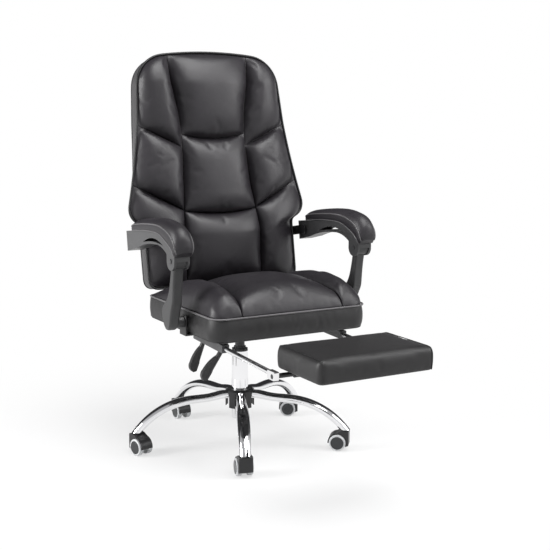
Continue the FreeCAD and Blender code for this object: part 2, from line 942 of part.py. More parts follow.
def back_place(x, v, w):
    """Point of the back's own plane: v up it, w forward of it."""
    tilt = math.radians(back_tilt)
    up = (math.sin(tilt), math.cos(tilt))
    forward = (-math.cos(tilt), math.sin(tilt))
    v = v + hinge_drop
    w = w + hinge_behind
    y = hinge[0] + v * up[0] + w * forward[0]
    z = hinge[1] + v * up[1] + w * forward[1]
    return V(x, y, z)


def forward(distance):
    return back_place(0, 0, distance).sub(back_place(0, 0, 0))


def in_back_plane(y, z):
    """The (v, w) of a point of the side view."""
    tilt = math.radians(back_tilt)
    dy, dz = y - hinge[0], z - hinge[1]
    v = dy * math.sin(tilt) + dz * math.cos(tilt) - hinge_drop
    w = dz * math.sin(tilt) - dy * math.cos(tilt) - hinge_behind
    return v, w


shoulder_inset = 12.0
waist_inset = 3.0
wing_reach = 44.0
rear_wing_reach = 14.0
lower_width = arm_centre - beam_half_width - arm_to_back
shoulder_width = lower_width - shoulder_inset
waist_width = lower_width - waist_inset
wing_width = lower_width + wing_reach
rear_wing_width = lower_width + rear_wing_reach
wing_height = 247.0
shoulder_height = 613.0
waist_height = 497.0
foot_corner = 24.0


def back_outline(inset, w, wing):
    """Outline of the back: square shoulders, side wings and a narrow lower part."""
    i = inset
    swell = waist_width + 0.42 * (wing - waist_width)
    right = [
        (lower_width - foot_corner - i, i),
        ((lower_width - foot_corner * 0.3 - i, foot_corner * 0.3 + i), (lower_width - i, foot_corner + i)),
        (lower_width + 1 - i, wing_height - 62 + i),
        (lower_width + 10 - i, wing_height - 52 + i),
        ((wing - 5 - i, wing_height - 32 + i), (wing - i, wing_height)),
        ((swell - i, (wing_height + waist_height) / 2), (waist_width - i, waist_height)),
        (shoulder_width - i, shoulder_height),
        ((shoulder_width - 26 - i, back_height - 40 - i), (shoulder_width - 88 - i, back_height - 9 - i)),
        ((0, back_height - i), (88 + i - shoulder_width, back_height - 9 - i)),
    ]
    left = [
        ((26 + i - shoulder_width, back_height - 40 - i), (i - shoulder_width, shoulder_height)),
        (i - waist_width, waist_height),
        ((i - swell, (wing_height + waist_height) / 2), (i - wing, wing_height)),
        ((5 + i - wing, wing_height - 32 + i), (i - lower_width - 10, wing_height - 52 + i)),
        (i - lower_width - 1, wing_height - 62 + i),
        (i - lower_width, foot_corner + i),
        ((foot_corner * 0.3 + i - lower_width, foot_corner * 0.3 + i), (foot_corner + i - lower_width, i)),
    ]
    return wire(lambda x, v: back_place(x, v, w), (foot_corner + i - lower_width, i), right + left)


def outline_half_width(v):
    """Half width of the back at one height."""
    return between(
        [
            (0, lower_width - foot_corner * 0.7),
            (foot_corner, lower_width),
            (wing_height - 64, lower_width + 1),
            (wing_height - 50, lower_width + 14),
            (wing_height - 30, wing_width - 6),
            (wing_height, wing_width),
            ((wing_height + waist_height) / 2, wing_width - 27.5),
            (waist_height, waist_width),
            (shoulder_height, shoulder_width),
            (back_height - 50, shoulder_width - 17),
            (back_height - 25, shoulder_width - 46),
            (back_height - 9, shoulder_width - 88),
        ],
        v,
    )


def seam_x(v):
    """Half width of the centre column: narrow at the waist, wider above and below."""
    return between(
        [(20, 128), (170, 128.5), (230, 123), (300, 115), (400, 109), (480, 108), (530, 113),
         (613, 129), (690, 135)],
        v * 711.0 / back_height,
    )


def seam_w(v):
    """How far the sewn channels stand forward of the edge."""
    return between(
        [(0, 3), (44, 15), (156, 28), (227, 22), (288, 14), (420, 8), (481, 4), (613, 13), (711, 2)],
        v * 711.0 / back_height,
    )


panel_stations = (0.0, 0.035, 0.14, 0.32, 0.55, 0.78, 0.93)
centre_seams = (4.0, 227.0, 460.0, 706.0)
side_seams_inner = (4.0, 229.0, 422.0, 703.0)
side_seams_outer = (8.0, 311.0, 488.0, 676.0)
centre_puff = (24.0, 26.0, 32.0)
side_puff = (26.0, 34.0, 34.0)


def puff(share):
    """Fullness of a stuffed panel from one seam, 0, to the next, 1."""
    return (1 - abs(2 * share - 1) ** 3) ** 0.7


def panel_rows(seams, heights):
    """Height up the column and fullness of every section, seam by seam."""
    rows = []
    for low, high, height in zip(seams, seams[1:], heights):
        for share in panel_stations:
            rows.append((low, high, share, height * puff(share)))
    rows.append((seams[-2], seams[-1], 1.0, 0.0))
    return rows


def make_centre_column():
    sections = []
    for low, high, share, rise in panel_rows(centre_seams, centre_puff):
        v = low + (high - low) * share
        half = seam_x(v) - face_gap
        depth = seam_w(v)
        sections.append(
            wire(
                lambda x, w, v=v: back_place(x, v, w),
                (-half, face_gap),
                [(half, face_gap), (half, depth + 1), ((0, depth + 2 + rise), (-half, depth + 1))],
            )
        )
    return loft(sections)


def make_side_column():
    """Side column, whose rows slant from the outer edge down to the centre column."""
    inner_rows = panel_rows(side_seams_inner, side_puff)
    outer_rows = panel_rows(side_seams_outer, side_puff)
    sections = []
    for (low, high, share, rise), (low_out, high_out, _, _) in zip(inner_rows, outer_rows):
        v_in = low + (high - low) * share
        v_out = low_out + (high_out - low_out) * share
        x_in = seam_x(v_in) + face_gap
        x_out = outline_half_width(v_out) - back_edge
        depth = seam_w(v_in)
        edge = min(3.0, depth + 1)

        def place(along, w, v_in=v_in, v_out=v_out, x_in=x_in, x_out=x_out):
            return back_place(x_in + (x_out - x_in) * along, v_in + (v_out - v_in) * along, w)

        sections.append(
            wire(
                place,
                (0, face_gap),
                [(1, face_gap), (1, edge + 1), ((0.52, (depth + edge) / 2 + 3 + rise), (0, depth + 1))],
            )
        )
    return loft(sections)


def make_back():
    rear = -back_depth
    front = loft([back_outline(0, 0, wing_width), back_outline(0, rear, rear_wing_width)], True)
    board_front = back_depth - back_board_thickness
    board_outline = back_outline(back_board_margin, rear, rear_wing_width)
    board = prism(board_outline, forward(back_board_thickness))
    straps = make_hinge_arms(-board_front)
    brackets = make_rear_brackets(-board_front)
    core = front.cut(board)
    for piece in straps.Solids + brackets.Solids:
        core = core.cut(piece)
    nodes["back_board"] = board
    nodes["back_core"] = core
    nodes["back_hinge_arms"] = straps
    nodes["arm_rear_brackets"] = brackets
    nodes["back_rear_panel"] = loft(
        [
            back_outline(0, rear, rear_wing_width),
            back_outline(1.5, rear - back_panel_thickness * 0.5, rear_wing_width),
            back_outline(8, rear - back_panel_thickness, rear_wing_width),
        ],
        True,
    )
    side = make_side_column()
    nodes["back_cushion"] = solids([make_centre_column(), side, mirrored(side)])


def make_hinge_arms(board_face):
    """Steel straps up the front of the board, each with an eye round the hinge bolt."""
    half = hinge_eye_width / 2
    strap_length = 200.0
    x = hinge_span - half
    eye = across(hinge_eye_radius, x, x + hinge_eye_width, *hinge)
    v_eye, w_eye = in_back_plane(*hinge)
    strap = prism(
        wire(
            lambda v, w: back_place(x, v, w),
            (v_eye, board_face),
            [
                (strap_length, board_face),
                (strap_length, board_face + hinge_strap),
                (v_eye, board_face + hinge_strap),
            ],
        ),
        V(hinge_eye_width, 0, 0),
    )
    bore = across(hinge_pin_radius + running_play, x - 1, x + hinge_eye_width + 1, *hinge)
    return both_sides(eye.fuse(strap).removeSplitter().cut(bore))


def make_rear_brackets(board_face):
    """Plates from the back board to the rear arm pivots, each with its stud."""
    inner_face = arm_centre - beam_half_width
    plate_out = inner_face - 5.0
    plate_in = plate_out - arm_plate
    v_pivot, w_pivot = in_back_plane(*rear_pivot)
    half = 14.0
    side = prism(
        wire(
            lambda v, w: back_place(plate_in, v, w),
            (v_pivot - half, board_face),
            [
                (v_pivot - half, w_pivot),
                ((v_pivot, w_pivot + half), (v_pivot + half, w_pivot)),
                (v_pivot + half, board_face),
            ],
        ),
        V(arm_plate, 0, 0),
    )
    tab_start = plate_in - 60.0
    tab = prism(
        wire(
            lambda x, v: back_place(x, v, board_face),
            (tab_start, v_pivot - half),
            [(plate_out, v_pivot - half), (plate_out, v_pivot + half), (tab_start, v_pivot + half)],
        ),
        forward(arm_plate),
    )
    stud = across(pivot_radius, plate_in + 1, inner_face + rear_stud_reach, *rear_pivot)
    return both_sides(fuse(side, tab, stud))


# Arms, made on the right-hand side and mirrored

def arm_side(x):
    """Side view of an arm, measured from its front pivot."""
    return lambda y, z: V(x, front_pivot[0] + y, front_pivot[1] + z)


def beam_end():
    """Rear pivot as seen from the front pivot."""
    return (rear_pivot[0] - front_pivot[0], rear_pivot[1] - front_pivot[1])


def make_beam():
    """Arched arm carrier: forked at the front pivot, hollow and open at its rear end."""
    left = arm_centre - beam_half_width
    width = V(2 * beam_half_width, 0, 0)
    rear, rise = beam_end()
    outline = wire(
        arm_side(left),
        (rear + 39, rise + 23),
        [
            (rear - 11, rise + 27),
            ((rear - 103, rise + 37), (100, 67)),
            ((45, 58), (-5, 35)),
            ((-21, 22), (-ear_radius, 8)),
            (-ear_radius, 0),
            ((0, -ear_radius), (ear_radius, 0)),
            (ear_radius, 17),
            ((58, 31), (105, 34.5)),
            ((rear - 103, rise), (rear - 33, rise - 20)),
            (rear + 31, rise - 35),
        ],
    )
    beam = prism(outline, width)
    crescent = wire(
        arm_side(left),
        (rear - 85, rise + 4),
        [((115, 50), (48, 37)), ((110, 40.5), (rear - 85, rise + 4))],
    )
    beam = beam.cut(prism(crescent, width))
    inner_left = left + beam_wall
    inner_width = V(2 * (beam_half_width - beam_wall), 0, 0)
    hollow = wire(
        arm_side(inner_left),
        (rear + 60, rise + 17),
        [
            (rear + 34, rise + 19),
            (rear - 11, rise + 22.5),
            (rear - 68, rise + 28),
            (rear - 70, rise + 12),
            (rear - 28, rise - 14),
            (rear + 31, rise - 29),
            (rear + 60, rise - 34),
        ],
    )
    boss = across(
        rear_boss_radius, left + 1, left + 2 * beam_half_width - 1, *rear_pivot
    )
    beam = beam.cut(prism(hollow, inner_width)).fuse(boss)
    stud_room = across(
        pivot_radius + open_pivot_play, left - 1, left + rear_stud_reach + 2, *rear_pivot
    )
    mouth = barrel_half_width + face_gap
    barrel_room = across(
        barrel_radius + 2, arm_centre - mouth, arm_centre + mouth, *front_pivot
    )
    below = box(
        (arm_centre - mouth, arm_centre + mouth),
        (front_pivot[0] - ear_radius - 20, front_pivot[0] + ear_radius + 1),
        (front_pivot[1] - 2 * ear_radius, front_pivot[1]),
    )
    pin_room = across(pivot_radius, left - 5, left + 2 * beam_half_width + 5, *front_pivot)
    return beam.cut(stud_room).cut(barrel_room).cut(below).cut(pin_room)


def make_post():
    """Upright blade from the front pivot to the pivot beside the seat."""
    lean_y, lean_z = post_lean
    levels = (
        (0.05, 0.0, barrel_half_width, 14.0, 12.0),
        (0.22, 0.0, barrel_half_width, 14.0, 9.0),
        (0.36, 0.0, barrel_half_width, 18.0, 7.0),
        (0.52, 0.0, barrel_half_width, 24.0, 8.0),
        (0.65, 0.0, barrel_half_width, 28.0, 18.0),
        (0.79, -1.0, barrel_half_width, 24.0, 37.0),
        (0.93, -2.0, barrel_half_width - 0.5, 22.0, 33.0),
        (1.05, -3.0, barrel_half_width - 1.5, 19.0, 20.0),
        (1.11, -3.0, barrel_half_width - 4.0, 11.0, 9.0),
    )
    rings = []
    for share, shift, half, ahead, behind in levels:
        y = front_pivot[0] + lean_y * share
        z = front_pivot[1] + lean_z * share
        centre = arm_centre + shift
        rings.append(
            rounded_rectangle(
                lambda x, y, z=z, centre=centre: V(centre + x, y, z), half, y - ahead, y + behind, 6.0
            )
        )
    blade = loft(rings)
    barrel = across(
        barrel_radius, arm_centre - barrel_half_width, arm_centre + barrel_half_width, *front_pivot
    )
    boss = across(foot_boss_radius, frame_reach + 1, arm_centre - 6, *post_foot)
    post = fuse(blade, barrel, boss)
    foot_bore = across(
        pivot_radius + running_play, frame_reach - 1, arm_centre + 0.5, *post_foot
    )
    top_bore = across(
        pivot_radius + running_play, arm_centre - 40, arm_centre + 40, *front_pivot
    )
    return post.cut(foot_bore).cut(top_bore)


def make_arm_pad():
    """Stuffed pad that follows the carrier's back and rolls down over its nose."""
    rear = beam_end()[0]
    stations = (
        ((rear - 8, 55.5), (rear - 7, 69), 22),
        ((rear - 13, 56), (rear - 12, 81), 28),
        ((rear - 43, 60), (rear - 41, 91), 30),
        ((160, 66.5), (162, 101), 31),
        ((100, 69), (98, 107), 31),
        ((57, 65.5), (44, 107), 31),
        ((14, 50), (-14, 96), 31),
        ((-13, 35), (-41, 73), 30),
        ((-26.5, 19), (-48, 48), 28),
        ((-30, 14), (-46, 28), 23),
    )
    place = arm_side(0)
    sections = []
    for low, high, half in stations:
        foot = place(*low)
        rise = place(*high).sub(foot)

        def section(x, share, foot=foot, rise=rise):
            return foot.add(V(arm_centre + x, 0, 0)).add(rise * share)

        sections.append(
            wire(
                section,
                (4 - half, 0),
                [
                    (half - 4, 0),
                    ((half, 0.3), (half - 3, 0.62)),
                    ((0, 1.0), (3 - half, 0.62)),
                    ((-half, 0.3), (4 - half, 0)),
                ],
            )
        )
    return loft(sections)


def make_arm_pin():
    left = arm_centre - beam_half_width
    right = arm_centre + beam_half_width
    return fuse(
        across(pivot_radius, left - pin_head, right + pin_head, *front_pivot),
        across(pin_head_radius, left - pin_head, left, *front_pivot),
        across(pin_head_radius, right, right + pin_head, *front_pivot),
    )


def make_arms():
    pieces = {
        "beam": make_beam(),
        "post": make_post(),
        "pad": make_arm_pad(),
        "pin": make_arm_pin(),
    }
    for name, shape in pieces.items():
        nodes[f"arm_left_{name}"] = shape
        nodes[f"arm_right_{name}"] = mirrored(shape)


def write_parts():
    os.makedirs("parts", exist_ok=True)
    for name, shape in nodes.items():
        shape.exportStep(f"parts/{name}.step")


make_star_base()
make_hub_cover()
make_castors()
make_column()
make_mechanism()
make_mount_bolts()
make_levers()
make_seat()
make_seat_frame()
make_footrest()
make_back()
make_arms()
write_parts()
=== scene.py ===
"""Looks of a reclining office chair: stuffed leather, chrome tube and moulded plastic."""

import math

import bpy
import numpy as np
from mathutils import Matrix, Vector


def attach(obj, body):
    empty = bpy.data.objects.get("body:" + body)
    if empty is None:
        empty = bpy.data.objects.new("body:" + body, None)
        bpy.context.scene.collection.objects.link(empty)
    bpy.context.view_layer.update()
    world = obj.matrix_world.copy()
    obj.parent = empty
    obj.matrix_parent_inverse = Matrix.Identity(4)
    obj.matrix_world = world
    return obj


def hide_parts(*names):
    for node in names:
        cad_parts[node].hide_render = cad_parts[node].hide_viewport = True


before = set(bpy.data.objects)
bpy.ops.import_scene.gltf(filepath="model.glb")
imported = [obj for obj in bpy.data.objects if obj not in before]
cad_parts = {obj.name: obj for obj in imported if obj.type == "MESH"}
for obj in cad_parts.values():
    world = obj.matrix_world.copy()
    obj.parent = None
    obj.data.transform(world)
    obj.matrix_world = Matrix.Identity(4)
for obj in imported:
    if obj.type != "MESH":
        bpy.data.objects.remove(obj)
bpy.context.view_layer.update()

bl_info = {
    "name": "Reclining chair",
    "version": (1, 0, 0),
    "blender": (4, 5, 0),
    "location": "3D View > Sidebar > Chair",
    "description": "Leather cushions, piping and finishes of a reclining office chair",
    "category": "Add Mesh",
}

# Places on the chair, in metres, as in its solids, with the seat's front 5 mm fuller
hinge = (0.128, 0.452)
back_tilt = math.radians(10.0)
hinge_drop = 0.019
hinge_behind = 0.0347
back_height = 0.711
back_depth = 0.044
shoulder_width = 0.240
waist_width = 0.249
wing_width = 0.296
rear_wing_width = 0.266
lower_width = 0.252
wing_height = 0.247
shoulder_height = 0.613
waist_height = 0.497
foot_corner = 0.024
foot_points = 24
seat_half_width = 0.240
seat_rear_spread = 0.005
seat_front = -0.315
seat_rear = 0.116
seat_bottom = 0.391
seat_boxing = 0.066
seat_corner = 0.040
seat_rear_corner = 0.024
piping_level = seat_bottom + seat_boxing
arm_centre = 0.294
front_pivot = (-0.200, 0.605)
beam_length = 0.273
footrest_half_width = 0.170
footrest_rear = -0.510
footrest_front = footrest_rear - 0.210
footrest_bottom = 0.365
footrest_thickness = 0.062
footrest_corner = 0.016


def length_field(name, description, default, highest, lowest=0.0):
    return bpy.props.FloatProperty(
        name=name, description=description, default=default, min=lowest, max=highest,
        subtype="DISTANCE", unit="LENGTH",
    )


def colour_field(name, description, default):
    return bpy.props.FloatVectorProperty(
        name=name, description=description, default=default, min=0.0, max=1.0, size=3,
        subtype="COLOR",
    )


class ChairSizes(bpy.types.PropertyGroup):
    centre_fullness: length_field(
        "Centre fullness", "Height of the back's centre pads over their seams", 0.027, 0.06
    )
    side_fullness: length_field(
        "Side fullness", "Height of the back's side pads over their seams", 0.031, 0.06
    )
    seat_crown: length_field(
        "Seat crown", "Height of the seat's centre over its piping", 0.084, 0.12, 0.02
    )
    bolster_crown: length_field(
        "Bolster crown", "Height of the seat's side bolsters over the piping", 0.074, 0.12, 0.02
    )
    piping: length_field(
        "Piping", "Radius of the piping round the seat and the back", 0.0032, 0.006, 0.001
    )
    slack: bpy.props.FloatProperty(
        name="Slack", description="Share by which the leather is cut wider than its foam",
        default=0.010, min=0.0, max=0.1, subtype="FACTOR",
    )


class ChairColours(bpy.types.PropertyGroup):
    leather: colour_field(
        "Leather", "Colour of the seat's and the back's leather", (0.0160, 0.0143, 0.0170)
    )
    boxing: colour_field(
        "Boxing", "Colour of the plain leather round the sides", (0.0145, 0.0140, 0.0145)
    )
    piping: colour_field("Piping", "Colour of the piping's leather", (0.006, 0.006, 0.0065))
    plastic: colour_field("Plastic", "Colour of the arms' moulded plastic", (0.036, 0.036, 0.037))
    chrome: colour_field("Chrome", "Tint of the base's chrome", (0.86, 0.86, 0.87))


def sizes():
    return bpy.context.scene.chair_sizes


def colours():
    return bpy.context.scene.chair_colours


# Shader building

class Value:
    """A number socket of a finish that works in Python sums and products."""

    def __init__(self, finish, socket):
        self.finish = finish
        self.socket = socket

    def _math(self, operation, first, second):
        node = self.finish.add("ShaderNodeMath", {"operation": operation}, {0: first, 1: second})
        return Value(self.finish, node.outputs[0])

    def __add__(self, other):
        return self._math("ADD", self, other)

    def __radd__(self, other):
        return self._math("ADD", other, self)

    def __mul__(self, other):
        return self._math("MULTIPLY", self, other)

    def __rmul__(self, other):
        return self._math("MULTIPLY", other, self)


class Finish:
    """A material whose maths is written as Python sums."""

    def __init__(self, name, tree=None):
        if tree is None:
            self.material = bpy.data.materials.new(name)
            self.material.use_nodes = True
            tree = self.material.node_tree
        self.tree = tree
        self.shader = next((n for n in tree.nodes if n.type == "BSDF_PRINCIPLED"), None)

    def add(self, kind, settings=None, sockets=None):
        node = self.tree.nodes.new(kind)
        for name, value in (settings or {}).items():
            setattr(node, name, value)
        for name, value in (sockets or {}).items():
            self.put(node.inputs[name], value)
        return node

    def put(self, socket, value):
        if isinstance(value, Value):
            self.tree.links.new(value.socket, socket)
        elif isinstance(value, bpy.types.NodeSocket):
            self.tree.links.new(value, socket)
        elif socket.type == "RGBA" and len(value) == 3:
            socket.default_value = (*value, 1.0)
        else:
            socket.default_value = value

    def number(self, node, output=0):
        return Value(self, node.outputs[output])

    def place(self):
        return self.add("ShaderNodeTexCoord").outputs["Object"]

    def stretched(self, scale):
        node = self.add("ShaderNodeMapping", {}, {"Vector": self.place(), "Scale": scale})
        return node.outputs[0]

    def noise(self, scale, detail=3.0, roughness=0.5, vector=None, distortion=0.0):
        node = self.add(
            "ShaderNodeTexNoise", {},
            {
                "Vector": vector or self.place(), "Scale": scale, "Detail": detail,
                "Roughness": roughness, "Distortion": distortion,
            },
        )
        return self.number(node, "Fac")

    def cells(self, scale, feature="F1", vector=None, randomness=1.0):
        node = self.add(
            "ShaderNodeTexVoronoi", {"feature": feature},
            {"Vector": vector or self.place(), "Scale": scale, "Randomness": randomness},
        )
        return self.number(node, "Distance")

    def between(self, value, low, high, start=0.0, end=1.0):
        node = self.add(
            "ShaderNodeMapRange", {"clamp": True, "interpolation_type": "SMOOTHSTEP"},
            {"Value": value, "From Min": low, "From Max": high, "To Min": start, "To Max": end},
        )
        return self.number(node)

    def mix(self, share, first, second):
        node = self.add("ShaderNodeMix", {"data_type": "RGBA"}, {0: share, 6: first, 7: second})
        return node.outputs[2]

    def bump(self, height, distance, strength=1.0, under=None):
        sockets = {"Height": height, "Distance": distance, "Strength": strength}
        if under is not None:
            sockets["Normal"] = under
        return self.add("ShaderNodeBump", {}, sockets).outputs[0]

    def set(self, **values):
        for name, value in values.items():
            socket = name.replace("_", " ").title().replace("Ior", "IOR")
            self.put(self.shader.inputs[socket], value)


def shade(colour, factor):
    return tuple(min(c * factor, 1.0) for c in colour)


def leather(name, colour, roughness=0.38, grain=1.0):
    """Pressed-grain leather: fine cells, soft creases and worn, slightly lighter high spots."""
    f = Finish(name)
    bend = f.noise(60.0, 2.0)
    cells = f.cells(620.0, "SMOOTH_F1")
    creases = f.noise(34.0, 4.0, 0.62, None, 1.4)
    broad = f.noise(7.0, 2.0)
    pores = f.between(cells, 0.05, 0.55)
    wear = f.between(broad * 0.6 + creases * 0.4, 0.35, 0.68)
    tone = f.mix(wear, shade(colour, 0.82), shade(colour, 1.22))
    tone = f.mix(pores * 0.35, tone, shade(colour, 1.45))
    f.set(
        base_color=tone,
        roughness=roughness - 0.05 + 0.10 * creases + 0.05 * pores,
        metallic=0.0,
        specular_ior_level=0.42,
    )
    fine = f.bump(pores, 0.00012 * grain, 0.55)
    soft = f.bump(creases * 0.7 + bend * 0.3, 0.0010, 0.22, fine)
    f.set(normal=soft)
    return f.material


def moulded(name, colour, roughness=0.45, texture=0.00007):
    """Moulded plastic with a fine spark-eroded texture."""
    f = Finish(name)
    fine = f.noise(1500.0, 2.0)
    flow = f.noise(11.0, 3.0)
    f.set(
        base_color=f.mix(f.between(flow, 0.3, 0.7), shade(colour, 0.88), shade(colour, 1.15)),
        roughness=roughness - 0.04 + 0.10 * flow,
    )
    f.set(normal=f.bump(fine, texture, 0.6))
    return f.material


def chrome(name, colour):
    """Polished chrome with faint waviness, wipe marks and dust."""
    f = Finish(name)
    waves = f.noise(9.0, 2.0)
    wipes = f.noise(55.0, 4.0, 0.6, f.stretched((1.0, 1.0, 3.0)))
    dust = f.between(f.noise(420.0, 2.0), 0.62, 0.80)
    f.set(
        base_color=f.mix(dust * 0.25, colour, shade(colour, 0.80)),
        metallic=1.0,
        roughness=0.035 + 0.05 * f.between(wipes, 0.45, 0.75) + 0.08 * dust,
    )
    f.set(normal=f.bump(waves, 0.0012, 0.10))
    return f.material


def coated_steel(name, colour):
    """Powder-coated steel with orange-peel texture."""
    f = Finish(name)
    peel = f.noise(520.0, 3.0)
    broad = f.noise(14.0, 3.0)
    f.set(
        base_color=f.mix(f.between(broad, 0.3, 0.7), shade(colour, 0.8), shade(colour, 1.3)),
        roughness=0.36 + 0.12 * broad,
        metallic=0.0,
    )
    f.set(normal=f.bump(peel, 0.00012, 0.5))
    return f.material


def zinc(name, colour):
    """Bright plated steel with drawn lines and small dark specks."""
    f = Finish(name)
    lines = f.noise(900.0, 2.0, 0.5, f.stretched((1.0, 0.08, 1.0)))
    specks = f.between(f.noise(260.0, 2.0), 0.63, 0.75)
    f.set(
        base_color=f.mix(specks * 0.5, colour, shade(colour, 0.45)),
        metallic=1.0,
        roughness=0.24 + 0.16 * lines,
    )
    f.set(normal=f.bump(lines, 0.00004, 0.6))
    return f.material


def plywood(name):
    """Birch plywood: pale faces with long grain, darker plies."""
    f = Finish(name)
    grain = f.noise(38.0, 5.0, 0.6, f.stretched((0.15, 1.0, 1.0)), 1.2)
    plies = f.noise(700.0, 0.0, 0.5, f.stretched((0.01, 0.01, 1.0)))
    tone = f.mix(f.between(grain, 0.35, 0.65), (0.42, 0.29, 0.17), (0.60, 0.45, 0.29))
    tone = f.mix(f.between(plies, 0.45, 0.55) * 0.4, tone, (0.28, 0.18, 0.10))
    f.set(base_color=tone, roughness=0.62 + 0.15 * grain)
    f.set(normal=f.bump(grain, 0.0003, 0.5))
    return f.material


def under_cloth(name, colour):
    """Thin black non-woven cloth, as it is tacked under a seat."""
    f = Finish(name)
    fibres = f.noise(820.0, 4.0, 0.7, None, 0.6)
    dimples = f.cells(330.0, "F1", None, 0.3)
    dots = f.between(dimples, 0.15, 0.35)
    f.set(
        base_color=f.mix(fibres, shade(colour, 0.7), shade(colour, 1.5)),
        roughness=0.86 + 0.08 * fibres,
    )
    f.set(normal=f.bump(fibres * 0.5 + dots * 0.5, 0.0002, 0.6))
    return f.material


finishes = {}


def make_finishes():
    c = colours()
    finishes["leather"] = leather("chair leather", tuple(c.leather))
    finishes["boxing"] = leather("boxing leather", tuple(c.boxing), 0.44, 1.2)
    # Painted light: the back's band is the boxing leather painted 3.8 times lighter, a painted
    # highlight for the light on its sides
    finishes["band"] = leather("band leather painted lighter as lit", shade(c.boxing, 3.8), 0.44, 1.0)
    finishes["rear"] = leather("rear leather", shade(c.boxing, 0.9), 0.5, 1.4)
    finishes["pad"] = leather("arm pad leather", shade(c.leather, 1.05), 0.42, 0.8)
    finishes["piping"] = leather("piping leather", tuple(c.piping), 0.38, 0.6)
    # Painted highlight: the seat's top piping and corner cords are the boxing leather painted 8
    # times lighter
    finishes["seat_piping_highlight"] = leather("seat piping leather painted pale as highlight", shade(c.boxing, 8.0), 0.42, 0.6)
    # Painted highlight: the arm pads' seam cords are the boxing leather painted 7 times lighter,
    # as bright rim lines
    finishes["seam_highlight"] = leather("seam highlight leather", shade(c.boxing, 7.0), 0.40, 0.4)
    finishes["chrome"] = chrome("chrome tube", tuple(c.chrome))
    finishes["arm"] = moulded("arm plastic", tuple(c.plastic), 0.42)
    # Painted light: the beams are the arms' plastic painted 1.5 times lighter than the posts, as
    # if lit
    finishes["beam"] = moulded("beam plastic painted lighter as lit", shade(c.plastic, 1.5), 0.36)
    finishes["black"] = moulded("black plastic", (0.012, 0.012, 0.013), 0.40)
    finishes["grip"] = moulded("grip plastic", (0.030, 0.030, 0.031), 0.5, 0.00012)
    finishes["wheel"] = moulded("wheel nylon", (0.58, 0.59, 0.60), 0.42)
    finishes["cap"] = moulded("cap plastic", (0.022, 0.024, 0.026), 0.28, 0.00003)
    finishes["coated"] = coated_steel("black coated steel", (0.016, 0.016, 0.017))
    finishes["guide"] = coated_steel("grey coated steel", (0.05, 0.05, 0.052))
    finishes["zinc"] = zinc("bright steel", (0.62, 0.62, 0.63))
    finishes["frame"] = coated_steel("grey frame steel", shade(c.boxing, 1.3))
    finishes["wood"] = plywood("birch plywood")
    finishes["cloth"] = under_cloth("black under cloth", (0.016, 0.016, 0.017))


# Meshes

def smooth_faces(mesh):
    mesh.polygons.foreach_set("use_smooth", [True] * len(mesh.polygons))


def new_piece(name, points, faces, finish):
    mesh = bpy.data.meshes.new(name)
    mesh.from_pydata([tuple(p) for p in points], [], [tuple(int(i) for i in f) for f in faces])
    mesh.validate()
    mesh.update()
    piece = bpy.data.objects.new(name, mesh)
    bpy.context.scene.collection.objects.link(piece)
    mesh.materials.append(finishes[finish])
    smooth_faces(mesh)
    return piece


def on_back(x, v, w):
    """Points of the back's own plane: v up it and w forward of it."""
    v = np.asarray(v, float) + hinge_drop
    w = np.asarray(w, float) + hinge_behind
    x = np.asarray(x, float) + 0 * v + 0 * w
    y = hinge[0] + v * math.sin(back_tilt) - w * math.cos(back_tilt)
    z = hinge[1] + v * math.cos(back_tilt) + w * math.sin(back_tilt)
    return np.stack([x, y + 0 * x, z + 0 * x], -1)


def arc(a, b, c, count):
    """Points along the circle from a through b to c, without the last one."""
    (ax, ay), (bx, by), (cx, cy) = a, b, c
    aa, bb, cc = ax**2 + ay**2, bx**2 + by**2, cx**2 + cy**2
    d = 2 * (ax * (by - cy) + bx * (cy - ay) + cx * (ay - by))
    ux = (aa * (by - cy) + bb * (cy - ay) + cc * (ay - by)) / d
    uy = (aa * (cx - bx) + bb * (ax - cx) + cc * (bx - ax)) / d
    radius = math.hypot(ax - ux, ay - uy)
    start = math.atan2(ay - uy, ax - ux)
    middle = math.atan2(by - uy, bx - ux)
    end = math.atan2(cy - uy, cx - ux)
    turn = (end - start) % (2 * math.pi)
    if (middle - start) % (2 * math.pi) > turn:
        turn -= 2 * math.pi
    angles = [start + turn * i / count for i in range(count)]
    return [(ux + radius * math.cos(u), uy + radius * math.sin(u)) for u in angles]


def straight(a, b, count):
    """Points along the line from a to b, without the last one."""
    return [tuple(p + (q - p) * i / count for p, q in zip(a, b)) for i in range(count)]


def back_right(wing):
    """Right half of the back's outline, from the middle below to the middle above."""
    c = foot_corner
    under_wing = (lower_width + 0.001, wing_height - 0.062)
    wing_foot = (lower_width + 0.010, wing_height - 0.052)
    wing_tip = (wing, wing_height)
    between = (waist_width + 0.42 * (wing - waist_width), (wing_height + waist_height) / 2)
    waist = (waist_width, waist_height)
    shoulder = (shoulder_width, shoulder_height)
    crown = (shoulder_width - 0.088, back_height - 0.009)
    line = straight((0, 0), (lower_width - c, 0), foot_points)
    line += arc((lower_width - c, 0), (lower_width - 0.3 * c, 0.3 * c), (lower_width, c), 6)
    line += straight((lower_width, c), under_wing, 16)
    line += straight(under_wing, wing_foot, 2)
    line += arc(wing_foot, (wing - 0.005, wing_height - 0.032), wing_tip, 8)
    line += arc(wing_tip, between, waist, 24)
    line += straight(waist, shoulder, 12)
    line += arc(shoulder, (shoulder_width - 0.026, back_height - 0.040), crown, 16)
    line += arc(crown, (0, back_height), (-crown[0], crown[1]), 32)[:17]
    return np.array(line)


def evenly(line, step, closed=False):
    """The same line with points at even steps."""
    line = np.asarray(line, float)
    if closed:
        line = np.vstack([line, line[:1]])
    length = np.linalg.norm(np.diff(line, axis=0), axis=1).sum()
    points = sample(line, max(int(round(length / step)), 3) + 1)
    return points[:-1] if closed else points


